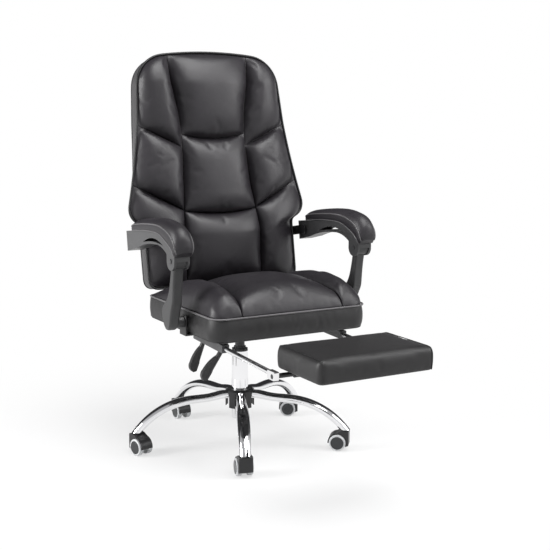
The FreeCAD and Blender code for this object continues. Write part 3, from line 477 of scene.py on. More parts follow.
def back_loop(wing, step=0.008):
    right = back_right(wing)
    left = right[::-1][1:-1] * (-1, 1)
    return evenly(np.vstack([right, left]), step, True)


def softened(line, rounds=2):
    """Rounds off the corners of a closed line a little."""
    for _ in range(rounds):
        line = 0.5 * line + 0.25 * (np.roll(line, 1, 0) + np.roll(line, -1, 0))
    return line


def back_half_width(v, wing):
    right = back_right(wing)
    keep = right[foot_points:]
    return np.interp(v, keep[:, 1], keep[:, 0])


def seam_x(v):
    """Half width of the back's centre column."""
    return np.interp(
        v,
        [0.020, 0.170, 0.230, 0.300, 0.400, 0.480, 0.530, 0.613, 0.690],
        [0.128, 0.1285, 0.123, 0.115, 0.109, 0.108, 0.113, 0.129, 0.135],
    )


def seam_depth(v):
    """How far the seams stand forward of the back's edge."""
    return np.interp(
        v,
        [0, 0.044, 0.156, 0.227, 0.288, 0.420, 0.481, 0.613, 0.711],
        [0.003, 0.015, 0.028, 0.022, 0.014, 0.008, 0.004, 0.013, 0.002],
    )


def tube(name, line, radius, finish, closed=True, sides=10):
    """Round cord of leather along a line of points."""
    line = np.asarray(line, float)
    count = len(line)
    if closed:
        ahead = np.roll(line, -1, 0) - np.roll(line, 1, 0)
    else:
        ahead = np.gradient(line, axis=0)
    ahead /= np.linalg.norm(ahead, axis=1)[:, None]
    side = np.cross(ahead[0], (0.31, 0.17, 0.93))
    side /= np.linalg.norm(side)
    sides_along = []
    for tangent in ahead:
        side = side - tangent * side.dot(tangent)
        side /= np.linalg.norm(side)
        sides_along.append(side)
    points = []
    for centre, tangent, side in zip(line, ahead, sides_along):
        other = np.cross(tangent, side)
        for k in range(sides):
            a = 2 * math.pi * k / sides
            points.append(centre + radius * (math.cos(a) * side + math.sin(a) * other))
    shift = 0
    if closed:
        first = points[:sides]
        last_side = sides_along[-1] - ahead[0] * sides_along[-1].dot(ahead[0])
        angle = math.atan2(
            last_side.dot(np.cross(ahead[0], sides_along[0])), last_side.dot(sides_along[0])
        )
        shift = int(round(angle / (2 * math.pi) * sides)) % sides
    faces = []
    last = count if closed else count - 1
    for i in range(last):
        a, b = i * sides, ((i + 1) % count) * sides
        turn = shift if closed and i == count - 1 else 0
        for k in range(sides):
            m = (k + 1) % sides
            faces.append((a + k, a + m, b + (m + turn) % sides, b + (k + turn) % sides))
    if not closed:
        faces.append(tuple(range(sides))[::-1])
        faces.append(tuple((count - 1) * sides + k for k in range(sides)))
    return new_piece(name, points, faces, finish)


def grid_faces(rows, columns, start=0, flip=False):
    faces = []
    for i in range(rows - 1):
        for j in range(columns - 1):
            a = start + i * columns + j
            quad = (a, a + 1, a + columns + 1, a + columns)
            faces.append(quad[::-1] if flip else quad)
    return faces


def rim_indices(rows, columns):
    """Indices round the edge of a grid, in order."""
    bottom = list(range(columns))
    right = [i * columns + columns - 1 for i in range(1, rows)]
    top = [(rows - 1) * columns + j for j in range(columns - 2, -1, -1)]
    left = [i * columns for i in range(rows - 2, 0, -1)]
    return bottom + right + top + left


def closed_pad(name, front, rear, finish):
    """Closed pad from its front and rear grids of points; the rear one is held in the cloth."""
    rows, columns = front.shape[:2]
    count = rows * columns
    points = np.vstack([front.reshape(-1, 3), rear.reshape(-1, 3)])
    faces = grid_faces(rows, columns) + grid_faces(rows, columns, count, True)
    rim = rim_indices(rows, columns)
    for a, b in zip(rim, rim[1:] + rim[:1]):
        faces.append((b, a, a + count, b + count))
    piece = new_piece(name, points, faces, finish)
    inside = np.zeros((rows, columns), bool)
    inside[1:-1, 1:-1] = True
    held = np.ones(2 * count)
    held[:count][inside.reshape(-1)] = 0.0
    return piece, held


def swell(pieces, slack, cap, pressure=4.0, bending=0.6, frames=20):
    """Blows up leather covers that are held along their seams, and keeps the result."""
    scene = bpy.context.scene
    starts = {}
    for piece, held in pieces:
        group = piece.vertex_groups.new(name="seam")
        for index, weight in enumerate(held):
            if weight > 0:
                group.add([index], float(weight), "REPLACE")
        starts[piece.name] = np.array([v.co for v in piece.data.vertices], float)
        cloth = piece.modifiers.new("cover", "CLOTH")
        s = cloth.settings
        s.quality = 6
        s.mass = 0.25
        s.tension_stiffness = 18.0
        s.compression_stiffness = 18.0
        s.shear_stiffness = 6.0
        s.bending_stiffness = bending
        s.tension_damping = 8.0
        s.air_damping = 2.0
        s.shrink_min = -slack
        s.shrink_max = -slack
        s.use_pressure = True
        s.uniform_pressure_force = pressure
        s.effector_weights.gravity = 0.0
        s.vertex_group_mass = "seam"
        s.pin_stiffness = 1.0
        cloth.collision_settings.use_collision = False
        cloth.point_cache.frame_start = 1
        cloth.point_cache.frame_end = frames
    for number in range(1, frames + 1):
        scene.frame_set(number)
    graph = bpy.context.evaluated_depsgraph_get()
    for piece, held in pieces:
        shape = piece.evaluated_get(graph).to_mesh()
        ends = np.array([v.co for v in shape.vertices], float)
        piece.evaluated_get(graph).to_mesh_clear()
        piece.modifiers.clear()
        piece.vertex_groups.clear()
        start = starts[piece.name]
        move = ends - start
        length = np.linalg.norm(move, axis=1)
        share = cap * np.tanh(length / cap) / np.maximum(length, 1e-9)
        move *= share[:, None] * (1 - held)[:, None]
        piece.data.vertices.foreach_set("co", (start + move).ravel())
        piece.data.update()
    scene.frame_set(1)


def smooth_out(piece):
    """One subdivision, kept in the mesh."""
    modifier = piece.modifiers.new("round", "SUBSURF")
    modifier.levels = modifier.render_levels = 1
    graph = bpy.context.evaluated_depsgraph_get()
    mesh = bpy.data.meshes.new_from_object(piece.evaluated_get(graph))
    piece.modifiers.clear()
    old = piece.data
    piece.data = mesh
    mesh.name = piece.name
    bpy.data.meshes.remove(old)
    smooth_faces(mesh)


def hump(share, power=2.6, round_off=0.75):
    """Fullness from one seam, 0, to the next, 1."""
    return (1 - np.abs(2 * share - 1) ** power) ** round_off


def coons(inner, outer, low, high):
    """Flat patch between four sampled edges: low and high run from inner to outer."""
    rows, columns = len(inner), len(low)
    t = np.linspace(0, 1, rows)[:, None, None]
    s = np.linspace(0, 1, columns)[None, :, None]
    sides = (1 - s) * inner[:, None, :] + s * outer[:, None, :]
    ends = (1 - t) * low[None, :, :] + t * high[None, :, :]
    corners = (1 - s) * (1 - t) * low[0] + s * (1 - t) * low[-1]
    corners = corners + (1 - s) * t * high[0] + s * t * high[-1]
    return sides + ends - corners


def sample(line, count):
    """A number of points spread evenly along a line."""
    line = np.asarray(line, float)
    runs = np.linalg.norm(np.diff(line, axis=0), axis=1)
    along = np.concatenate([[0], np.cumsum(runs)])
    marks = np.linspace(0, along[-1], count)
    return np.stack([np.interp(marks, along, line[:, k]) for k in range(line.shape[1])], -1)


# The back

seam_gap = 0.0005
seam_dip = 0.010
pad_lift = 0.0006
cord_step = 0.006
centre_seams = (0.004, 0.227, 0.460, 0.706)
side_seams_inner = (0.004, 0.229, 0.422, 0.703)
side_seams_outer = (0.008, 0.311, 0.488, 0.672)


def cross_seam(v, half, sag, count=40):
    """Seam across the centre column, hanging a little in the middle."""
    x = np.linspace(-half, half, count)
    return np.stack([x, v - sag * (1 - (x / half) ** 2)], -1)


def rolled(edge, roll, fullness):
    """Depth of a pad that dips at its seams, from the seams' depth and a share of fullness."""
    return np.maximum(edge - seam_dip * (1 - roll) + fullness * roll, 0.0014)


def top_edge(x):
    """Height of the pads' upper edge along the back's crown."""
    return back_height - 0.005 - 0.009 * (x / 0.152) ** 2


def centre_pad(number):
    low, high = centre_seams[number], centre_seams[number + 1]
    rows = 34
    v = np.linspace(low, high, rows)
    right = np.stack([seam_x(v) - seam_gap, v], -1)
    left = right * (-1, 1)
    sag = (0.0, 0.011, 0.013, 0.0)
    floor_line = cross_seam(low + seam_gap, right[0, 0], sag[number])
    if number == 2:
        x = np.linspace(-right[-1, 0], right[-1, 0], 40)
        roof = np.stack([x, top_edge(x)], -1)
        right[-1, 1] = left[-1, 1] = roof[-1, 1]
    else:
        roof = cross_seam(high - seam_gap, right[-1, 0], sag[number + 1])
    columns = 36
    flat = coons(left, right, sample(floor_line, columns), sample(roof, columns))
    t = np.linspace(0, 1, rows)[:, None]
    s = np.linspace(0, 1, columns)[None, :]
    fullness = sizes().centre_fullness * (0.9, 0.95, 1.2)[number]
    lean = (1.0, 1.0, 0.82)[number]
    roll = hump(t**lean, 3.4, 0.55) * hump(s, 3.4, 0.6)
    depth = rolled(seam_depth(flat[..., 1]) + 0.001, roll, fullness)
    front = on_back(flat[..., 0], flat[..., 1], depth)
    rear = on_back(flat[..., 0], flat[..., 1], pad_lift + 0 * depth)
    return closed_pad(f"back_centre_pad_{number + 1}", front, rear, "leather")


def side_pad(number, side):
    """Side pad between the centre column and the piping, with slanting seams."""
    rows, columns = 36, 26
    v_in = np.linspace(side_seams_inner[number], side_seams_inner[number + 1], rows)
    inner = np.stack([seam_x(v_in) + seam_gap, v_in], -1)
    v_out = np.linspace(side_seams_outer[number], side_seams_outer[number + 1], rows)
    outer = np.stack([back_half_width(v_out, wing_width) - 0.0022, v_out], -1)
    inner[0, 1] += seam_gap
    outer[0, 1] += seam_gap
    low = sample([inner[0], outer[0]], columns)
    if number == 2:
        edge = back_right(wing_width)
        top = edge[(edge[:, 1] > 0.6725) & (edge[:, 0] > inner[-1, 0])]
        inner[-1, 1] = top_edge(inner[-1, 0])
        rim = top[::-1] - (0.0015, 0.0035)
        high = sample(np.vstack([[inner[-1]], rim, [outer[-1]]]), columns)
    else:
        high = sample([inner[-1] - (0, seam_gap), outer[-1] - (0, seam_gap)], columns)
    flat = coons(inner, outer, low, high)
    t = np.linspace(0, 1, rows)[:, None]
    s = np.linspace(0, 1, columns)[None, :]
    inner_depth = seam_depth(flat[:, :1, 1])
    base = (inner_depth + 0.001) * (1 - s) + np.minimum(0.003, inner_depth + 0.001) * s
    fullness = sizes().side_fullness * (0.85, 1.0, 1.0)[number]
    roll = hump(t, 3.6, 0.55) * hump(s**0.9, 2.6, 0.7)
    depth = rolled(base, roll, fullness)
    front = on_back(side * flat[..., 0], flat[..., 1], depth)
    rear = on_back(side * flat[..., 0], flat[..., 1], pad_lift + 0 * depth)
    if side < 0:
        front, rear = front[:, ::-1], rear[:, ::-1]
    label = "left" if side > 0 else "right"
    return closed_pad(f"back_{label}_pad_{number + 1}", front, rear, "leather")


def band_between(name, loops, finish):
    """Closed form through loops of points, with both ends drawn in to their middles."""
    count = len(loops[0])
    ends = []
    for loop in (loops[0], loops[-1]):
        middle = loop.mean(0)
        ends.append([middle + (loop - middle) * share for share in (0.8, 0.55, 0.3, 0.12)])
    loops = ends[0][::-1] + list(loops) + ends[1]
    points = np.vstack(loops)
    faces = []
    for k in range(len(loops) - 1):
        below, above = k * count, (k + 1) * count
        for i in range(count):
            j = (i + 1) % count
            faces.append((below + i, below + j, above + j, above + i))
    faces += [face[::-1] for face in rungs(0, count)]
    faces += rungs((len(loops) - 1) * count, count)
    return new_piece(name, points, faces, finish)


def rungs(start, count):
    """Faces that fill a small ring of points like the rungs of a ladder."""
    faces = []
    low, high = start, start + count - 1
    while high - low > 2:
        faces.append((low, low + 1, high - 1, high))
        low += 1
        high -= 1
    if high - low == 2:
        faces.append((low, low + 1, high))
    return faces


def outward_2d(line):
    """Unit normals that point out of a closed line that runs anticlockwise."""
    ahead = np.roll(line, -1, 0) - np.roll(line, 1, 0)
    normal = np.stack([ahead[:, 1], -ahead[:, 0]], -1)
    return normal / np.linalg.norm(normal, axis=1)[:, None]


def back_band():
    """Leather band round the back's edge, slightly full between its pipings; its leather is
    painted lighter, a painted highlight.
    """
    loops = []
    along = softened(back_loop(wing_width))
    front_half = back_half_width(along[:, 1], wing_width)
    rear_half = back_half_width(along[:, 1], rear_wing_width)
    rear_along = along.copy()
    rear_along[:, 0] = along[:, 0] * rear_half / front_half
    for share in (0.0, 0.04, 0.15, 0.35, 0.55, 0.75, 0.9, 0.97, 1.0):
        line = along + (rear_along - along) * share
        full = 0.0022 * math.sin(math.pi * share) - 0.0016
        line = line + outward_2d(line) * full
        loops.append(on_back(line[:, 0], line[:, 1], -back_depth * share))
    return band_between("back_band", loops, "band")


def rear_cover():
    """Leather cover of the back's rear, full in the middle, with two lengthwise seams."""
    right = back_right(rear_wing_width)
    keep = right[foot_points:]
    rows, columns = 84, 61
    rise = np.linspace(0, math.pi, rows)
    v = back_height * (1 - np.cos(rise)) / 2
    v = np.clip(v, 0.0006, back_height - 0.0006)
    half = np.interp(v, keep[:, 1], keep[:, 0]) - 0.002
    half[0] = lower_width - foot_corner
    half[-1] = 0.10
    s = np.linspace(-1, 1, columns)
    s = np.sign(s) * (1 - (1 - np.abs(s)) ** 1.15)
    x = half[:, None] * s[None, :]
    height = v[:, None] + 0 * x
    margin = np.minimum(height, back_height - height) / 0.05
    full = np.clip(np.minimum(margin, (1 - np.abs(s)[None, :]) * 6), 0, 1)
    seam = 0.118 + 0.02 * np.cos((height - 0.3) * 5)
    crease = np.exp(-(((np.abs(x) - seam) / 0.006) ** 2))
    stuffing = 0.0075 * np.sin(full * math.pi / 2) ** 0.8
    depth = -back_depth - 0.0008 - stuffing + 0.003 * crease * full
    rear = on_back(x, height, depth)
    inner = on_back(x, height, -back_depth - 0.0003 + 0 * depth)
    return closed_pad("back_rear_cover", rear[:, ::-1], inner[:, ::-1], "rear")[0]


def back_piping(name, wing, w, radius, out):
    line = softened(back_loop(wing, cord_step), 3)
    line = line + outward_2d(line) * out
    return tube(name, on_back(line[:, 0], line[:, 1], w), radius, "piping")


def make_back():
    pads = [centre_pad(n) for n in range(3)]
    pads += [side_pad(n, side) for side in (1, -1) for n in range(3)]
    swell(pads, sizes().slack, 0.006)
    for piece, _ in pads:
        smooth_out(piece)
        settle(piece, "back", ("back_cushion",))
    settle(back_band(), "back", ("back_core",))
    settle(rear_cover(), "back", ("back_rear_panel",))
    radius = sizes().piping
    for name, wing, w, thickness, out in (
        ("back_front_piping", wing_width, 0.0022, radius, 0.0006),
        ("back_rear_piping", rear_wing_width, -back_depth - 0.0008, radius * 0.8, -0.002),
    ):
        settle(back_piping(name, wing, w, thickness, out), "back")


def settle(piece, body, nodes=()):
    """Puts a finished piece on its body and hides the imported parts it stands for."""
    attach(piece, body)
    if nodes:
        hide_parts(*nodes)


# The seat

seat_fullness = 0.004
corner_share = 1 - math.sqrt(0.5)
chair_sides = (("left", 1), ("right", -1))


def rounded_plan(half, wide, front, rear, corners, bends, step):
    """Plan anticlockwise from above, with its half widths and corners in front and behind."""
    c, r = corners
    k = corner_share
    front_bend, rear_bend = bends
    line = straight((half, front + c), (wide, rear - r), 40)
    line += arc((wide, rear - r), (wide - k * r, rear - k * r), (wide - r, rear), rear_bend)
    line += straight((wide - r, rear), (r - wide, rear), 40)
    line += arc((r - wide, rear), (k * r - wide, rear - k * r), (-wide, rear - r), rear_bend)
    line += straight((-wide, rear - r), (-half, front + c), 40)
    line += arc((-half, front + c), (k * c - half, front + k * c), (c - half, front), front_bend)
    line += straight((c - half, front), (half - c, front), 40)
    line += arc((half - c, front), (half - k * c, front + k * c), (half, front + c), front_bend)
    return evenly(line, step, True)


def seat_loop(inset, step=0.008):
    half = seat_half_width - inset
    front, rear = seat_front + inset, seat_rear - max(inset, 0)
    corners = (seat_corner, seat_rear_corner)
    return rounded_plan(half, half + seat_rear_spread, front, rear, corners, (10, 8), step)


def seat_half(y, inset):
    """Half width of the seat's plan at one place along it."""
    low, high = seat_front + inset, seat_rear - inset
    y = np.clip(y, low, high)
    half = seat_half_width - inset + seat_rear_spread * (y - low) / (high - low)
    out = half.copy()
    for room, corner in ((y - low, seat_corner), (high - y, seat_rear_corner)):
        short = corner - np.minimum(room, corner)
        rounded = half - corner + np.sqrt(np.maximum(corner**2 - short**2, 0))
        out = np.where(room < corner, np.minimum(out, rounded), out)
    return out


def wall_levels(bottom, height, share, count):
    """Heights of a ring of points on a side wall, just inside its bottom and top."""
    clear = 0.0004
    return np.full(count, bottom + clear + share * (height - 2 * clear))


def levels_of(piece):
    return np.array([v.co.z for v in piece.data.vertices])


def make_boxing():
    """Side wall of the seat with its flat underside, slightly full between the pipings."""
    base = seat_loop(0.0)
    normal = outward_2d(base)
    loops = []
    for share, out in (
        (0.0, -0.014), (0.0, -0.007), (0.02, -0.0035), (0.08, -0.0008), (0.2, 0.0012),
        (0.35, 0.0024), (0.5, 0.0028), (0.65, 0.0024), (0.8, 0.0012), (0.92, -0.0002),
        (0.98, -0.0015), (1.0, -0.004),
    ):
        line = base + normal * (out + seat_fullness)
        level = wall_levels(seat_bottom, seat_boxing, share, len(line))
        loops.append(np.column_stack([line, level]))
    piece = band_between("seat_boxing", loops, "boxing")
    level = levels_of(piece)
    held = np.where((level > seat_bottom + 0.008) & (level < piping_level - 0.008), 0.0, 1.0)
    swell([(piece, held)], 0.008, 0.003, 2.0, 0.5)
    smooth_out(piece)
    settle(piece, "seat", ("seat_cushion",))


def seat_height_share(share):
    """Height of the seat's crown from front, 0, to rear, 1."""
    table = np.array(
        [
            (0.0, 0.02), (0.010, 0.20), (0.03, 0.42), (0.085, 0.72), (0.18, 0.91),
            (0.32, 1.0), (0.5, 0.93), (0.68, 0.74), (0.84, 0.46), (0.95, 0.19), (1.0, 0.03),
        ]
    )
    fine = np.linspace(0, 1, 401)
    rough = np.interp(fine, table[:, 0], table[:, 1])
    kernel = np.hanning(25)
    kernel /= kernel.sum()
    before, after = 2 * rough[0] - rough[12:0:-1], 2 * rough[-1] - rough[-2:-14:-1]
    smooth = np.convolve(np.concatenate([before, rough, after]), kernel, "valid")
    blend = np.clip(fine / 0.06, 0, 1)
    return np.interp(share, fine, rough * (1 - blend) + smooth * blend)


def make_seat_top():
    """Seat cushion of a centre pad and two bolsters, sewn together along two valleys."""
    inset = -0.0005
    low, high = seat_front + inset, seat_rear - inset
    rows = 64
    t = np.linspace(0, 1, rows)
    share = t - 0.10 * np.sin(2 * math.pi * t) / (2 * math.pi)
    share = np.clip(share**1.12, 0, 1)
    y = low + share * (high - low)
    half = seat_half(y, inset)
    height = seat_height_share(share)
    seam = 0.160 - 0.030 * share
    seam = np.minimum(seam, half - 0.03)
    base = piping_level + pad_lift
    names = {"seat_centre_pad": 0, "seat_left_bolster": 1, "seat_right_bolster": -1}
    pads = []
    for name, side in names.items():
        columns = 40 if side == 0 else 20
        s = np.linspace(0, 1, columns)
        if side == 0:
            x = (2 * s[None, :] - 1) * (seam[:, None] - seam_gap)
            crown = height[:, None] * sizes().seat_crown
            valley = (height * sizes().bolster_crown - 0.032 * height**2)[:, None]
            arch = (1 - np.abs(2 * s - 1) ** 2.6) ** 0.8
            z = valley + (crown - valley) * arch[None, :]
        else:
            inner = seam[:, None] + seam_gap
            x = inner + (half[:, None] - inner) * s[None, :]
            crown = height[:, None] * sizes().bolster_crown
            valley = crown - 0.032 * height[:, None] ** 2
            edge = 0.10 * crown
            arch = hump(s * 0.94, 2.2, 0.75)[None, :]
            line = valley * (1 - s[None, :]) + edge * s[None, :]
            fade = 1 - 0.35 * np.maximum(s[None, :] - 0.5, 0)
            z = line + (crown * 1.02 - (valley + edge) / 2) * arch * fade
            z = np.minimum(z, crown * 1.04)
            z[:, -1] = 0.0012
            x = x * side
        z = base + 0.001 + np.maximum(z, 0.0008)
        yy = y[:, None] + 0 * x
        front = np.stack([x, yy, z], -1)
        rear = np.stack([x, yy, np.full_like(x, base)], -1)
        if side < 0:
            front, rear = front[:, ::-1], rear[:, ::-1]
        pads.append(closed_pad(name, front, rear, "leather"))
    swell(pads, 0.005, 0.004)
    for piece, _ in pads:
        smooth_out(piece)
        settle(piece, "seat", ("seat_top_cushion",))


def make_seat_piping():
    radius = sizes().piping
    # The top piping and the corner cords carry a painted highlight; the lower piping keeps the
    # dark piping leather
    top = softened(seat_loop(-0.0045, cord_step), 1)
    line = np.column_stack([top, np.full(len(top), piping_level)])
    settle(tube("seat_top_piping", line, radius * 0.8, "seat_piping_highlight"), "seat")
    under = softened(seat_loop(-0.0005, cord_step), 1)
    line = np.column_stack([under, np.full(len(under), seat_bottom + 0.0026)])
    settle(tube("seat_lower_piping", line, radius * 0.6, "piping"), "seat")
    share = np.linspace(0.03, 0.97, 12)
    out = (seat_fullness + 0.0028 * np.sin(math.pi * share)) * math.sqrt(0.5)
    cut = corner_share * seat_rear_corner
    x = seat_half_width + seat_rear_spread - cut + out
    level = seat_bottom + share * seat_boxing
    for label, side in chair_sides:
        line = np.column_stack([side * x, seat_rear - cut + out, level])
        cord = tube(f"seat_{label}_corner_cord", line, radius * 0.6, "seat_piping_highlight", False, 8)
        settle(cord, "seat")


# The footrest

def make_footrest():
    """Stuffed footrest pad, without the seams round its two side panels."""
    half, corner = footrest_half_width, footrest_corner
    loop = rounded_plan(
        half, half, footrest_front, footrest_rear, (corner, corner), (5, 5), 0.008
    )
    normal = outward_2d(loop)
    rings = [
        (0.0, -0.020), (0.0, -0.010), (0.015, -0.0045), (0.06, -0.0015), (0.14, 0.0),
        (0.3, 0.001), (0.5, 0.0012), (0.68, 0.0008), (0.8, -0.0006), (0.885, -0.0030),
        (0.945, -0.0070), (0.985, -0.0140),
    ]
    points = []
    for share, out in rings:
        ring = loop + normal * out
        level = wall_levels(footrest_bottom, footrest_thickness, share, len(ring))
        points.append(np.column_stack([ring, level]))
    last = points[-1]
    centre = last.mean(0)
    top = footrest_bottom + footrest_thickness - 0.0004
    for share in (0.9, 0.8, 0.68, 0.56, 0.44, 0.32, 0.2, 0.1):
        ring = centre + (last - centre) * share
        ring[:, 2] = last[0, 2] + (top - last[0, 2]) * (1 - share**2)
        points.append(ring)
    return band_between("footrest_pad", points, "boxing")


def make_footrest_pad():
    piece = make_footrest()
    held = np.where(levels_of(piece) < footrest_bottom + 0.006, 1.0, 0.0)
    swell([(piece, held)], 0.006, 0.002, 2.0, 0.8)
    smooth_out(piece)
    settle(piece, "footrest_pad", ("footrest_cushion",))
    for label, side in chair_sides:
        cord = tube(f"footrest_{label}_seam", footrest_seam(side), 0.0012, "piping", False, 8)
        settle(cord, "footrest_pad")


def footrest_seam(side):
    """Line of the seam round one side panel, over the pad from front to rear."""
    y0, y1 = footrest_front, footrest_rear
    x = side * (footrest_half_width - 0.010)
    rise = [
        (0.05, 0.0015), (0.14, 0.0), (0.3, -0.001), (0.5, -0.0012), (0.68, -0.0008),
        (0.8, 0.0006), (0.885, 0.0030), (0.945, 0.0070),
    ]
    front = [(x, y0 + 0.0012 + inward, level) for level, inward in rise]
    rear = [(x, y1 - 0.0012 - inward, level) for level, inward in rise[::-1]]
    line = np.array(front + [(x, y0 + 0.020, 0.972), (x, y1 - 0.020, 0.972)] + rear)
    line[:, 2] = footrest_bottom + line[:, 2] * footrest_thickness
    return evenly(line, cord_step)


# The arms

def arm_stations():
    """Foot and top of the pad's sections, from its rear end to its nose, with half widths."""
    rear = beam_length
    return np.array(
        [
            (rear - 0.008, 0.0555, rear - 0.007, 0.069, 0.022),
            (rear - 0.013, 0.056, rear - 0.012, 0.081, 0.028),
            (rear - 0.043, 0.060, rear - 0.041, 0.091, 0.030),
            (0.160, 0.0665, 0.162, 0.101, 0.031),
            (0.100, 0.069, 0.098, 0.107, 0.031),
            (0.057, 0.0655, 0.044, 0.107, 0.031),
            (0.014, 0.050, -0.014, 0.096, 0.031),
            (-0.013, 0.035, -0.041, 0.073, 0.030),
            (-0.0265, 0.019, -0.048, 0.048, 0.028),
            (-0.030, 0.014, -0.046, 0.028, 0.023),
        ]
    )


def spline(points, count):
    """Smooth curve through rows of numbers, evenly spread in the row number."""
    points = np.asarray(points, float)
    n = len(points)
    padded = np.vstack([2 * points[0] - points[1], points, 2 * points[-1] - points[-2]])
    out = []
    for u in np.linspace(0, n - 1, count):
        i = min(int(u), n - 2)
        f = u - i
        a, b, c, d = padded[i : i + 4]
        out.append(
            0.5 * (2 * b + (c - a) * f + (2 * a - 5 * b + 4 * c - d) * f**2)
            + 0.5 * (3 * b - a - 3 * c + d) * f**3
        )
    return np.array(out)


pad_profile = (
    (-0.86, 0.0), (-0.97, 0.07), (-1.0, 0.22), (-0.995, 0.38), (-0.96, 0.54), (-0.86, 0.70),
    (-0.66, 0.85), (-0.38, 0.95), (0.0, 1.0), (0.38, 0.95), (0.66, 0.85), (0.86, 0.70),
    (0.96, 0.54), (0.995, 0.38), (1.0, 0.22), (0.97, 0.07), (0.86, 0.0), (0.45, -0.004),
    (0.0, -0.006), (-0.45, -0.004),
)


def pad_point(side, section, across, up):
    """Point of one section of the arm's pad, by its shares across and up it."""
    y0, z0, y1, z1, half = section
    x = side * (arm_centre + across * half)
    return x, front_pivot[0] + y0 + (y1 - y0) * up, front_pivot[1] + z0 + (z1 - z0) * up


def make_arm_pad(label, side):
    """Stuffed cover of one arm with the cords along its seams."""
    sections = spline(arm_stations(), 54)
    loops = []
    for section in sections:
        ring = np.array([pad_point(side, section, across, up) for across, up in pad_profile])
        loops.append(ring if side > 0 else ring[::-1])
    piece = band_between(f"arm_{label}_cover", loops, "pad")
    smooth_out(piece)
    body = f"{label}_beam"
    settle(piece, body, (f"arm_{label}_pad",))
    radius = 0.0019
    # The seam cords carry a painted highlight along the pad's edges
    for edge, across, up in (("upper", 0.965, 0.56), ("lower", 0.93, 0.03)):
        for face, sign in (("outer", 1), ("inner", -1)):
            line = [pad_point(side, section, sign * across, up) for section in sections[1:-1]]
            line = evenly(line, cord_step)
            cord = tube(f"arm_{label}_{edge}_{face}_seam", line, radius, "seam_highlight", False, 8)
            settle(cord, body)


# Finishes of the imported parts

finish_nodes = {
    "chrome": ("star_base", "column_tube", "footrest_rods"),
    "black": ("hub_cover", "column_bush"),
    "zinc": (
        "castor_stems", "thrust_bearing", "piston_rod", "release_pin", "mount_bolts",
        "seat_pivot_bolts",
    ),
    "coated": (
        "gas_cylinder", "mechanism", "footrest_crossbar", "footrest_straps", "height_lever_rod",
        "recline_lever_rod", "back_hinge_arms", "arm_rear_brackets",
    ),
    "frame": ("seat_frame",),
    "guide": ("footrest_guides",),
    "grip": ("height_lever_grip", "recline_lever_grip"),
    "cloth": ("seat_board", "footrest_board"),
    "wood": ("back_board",),
}
# The beams take the plastic painted lighter as painted light; the posts keep the plain plastic
arm_finishes = {"beam": "beam", "post": "arm", "pin": "guide"}
castor_finishes = {"hood": "black", "axle": "zinc", "wheels": "wheel", "caps": "cap"}


def dress(node, finish):
    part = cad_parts[node]
    part.data.materials.clear()
    part.data.materials.append(finishes[finish])


def dress_parts():
    for finish, nodes in finish_nodes.items():
        for node in nodes:
            dress(node, finish)
    for part, finish in arm_finishes.items():
        for label, _ in chair_sides:
            dress(f"arm_{label}_{part}", finish)
    for part, finish in castor_finishes.items():
        for number in range(1, 6):
            dress(f"castor_{number}_{part}", finish)


# The stage

def make_stage():
    reach, cells = 7.0, 12
    line = np.linspace(-reach, reach, cells + 1)
    points = [(x, y, -0.0004) for y in line for x in line]
    mesh = bpy.data.meshes.new("floor")
    mesh.from_pydata(points, [], grid_faces(cells + 1, cells + 1))
    floor = bpy.data.objects.new("floor", mesh)
    bpy.context.scene.collection.objects.link(floor)
    f = Finish("pale floor")
    mesh.materials.append(f.material)
    f.set(base_color=(0.84, 0.84, 0.84), roughness=0.9, specular_ior_level=0.2)
    path = f.add("ShaderNodeLightPath")
    seen = f.number(path, "Is Camera Ray") + f.number(path, "Is Glossy Ray")
    seen = f.add(
        "ShaderNodeMath", {"operation": "MINIMUM"},
        {0: seen + f.number(path, "Is Transmission Ray"), 1: 1.0},
    ).outputs[0]
    away = f.add("ShaderNodeVectorMath", {"operation": "LENGTH"}, {0: f.place()})
    far = f.between(f.number(away, "Value"), 0.30, 1.25, 0.62, 1.0)
    glow = f.add("ShaderNodeEmission", {}, {"Color": (1.0, 1.0, 1.0), "Strength": 1.0})
    join = f.add("ShaderNodeMixShader", {}, {0: Value(f, seen) * far})
    f.tree.links.new(f.shader.outputs[0], join.inputs[1])
    f.tree.links.new(glow.outputs[0], join.inputs[2])
    output = next(n for n in f.tree.nodes if n.type == "OUTPUT_MATERIAL")
    f.tree.links.new(join.outputs[0], output.inputs[0])


def make_world():
    world = bpy.data.worlds.new("studio")
    bpy.context.scene.world = world
    world.use_nodes = True
    f = Finish("studio", world.node_tree)
    background = next(n for n in world.node_tree.nodes if n.type == "BACKGROUND")
    path = f.add("ShaderNodeLightPath")
    camera_ray = f.number(path, "Is Camera Ray")
    mirror_ray = f.number(path, "Is Glossy Ray") + f.number(path, "Is Transmission Ray")
    direction = f.add("ShaderNodeTexCoord").outputs["Generated"]
    parts = f.add("ShaderNodeSeparateXYZ", {}, {0: direction})
    up = f.number(parts, "Z")
    behind = f.number(parts, "Y") + 0.35 * f.number(parts, "X")
    ceiling = f.between(up, 0.55, 0.85)
    rear_wall = f.between(behind, 0.05, 0.45) * f.between(up, 0.07, 0.20)
    mirrored = f.mix(ceiling, (0.85, 0.85, 0.86), (0.42, 0.42, 0.43))
    mirrored = f.mix(rear_wall, mirrored, (0.03, 0.03, 0.032))
    plain = f.mix(f.between(mirror_ray, 0.0, 1.0), (0.19, 0.19, 0.195), mirrored)
    shown = f.mix(camera_ray, plain, (1.0, 1.0, 1.0))
    f.put(background.inputs["Color"], shown)
    background.inputs["Strength"].default_value = 1.0


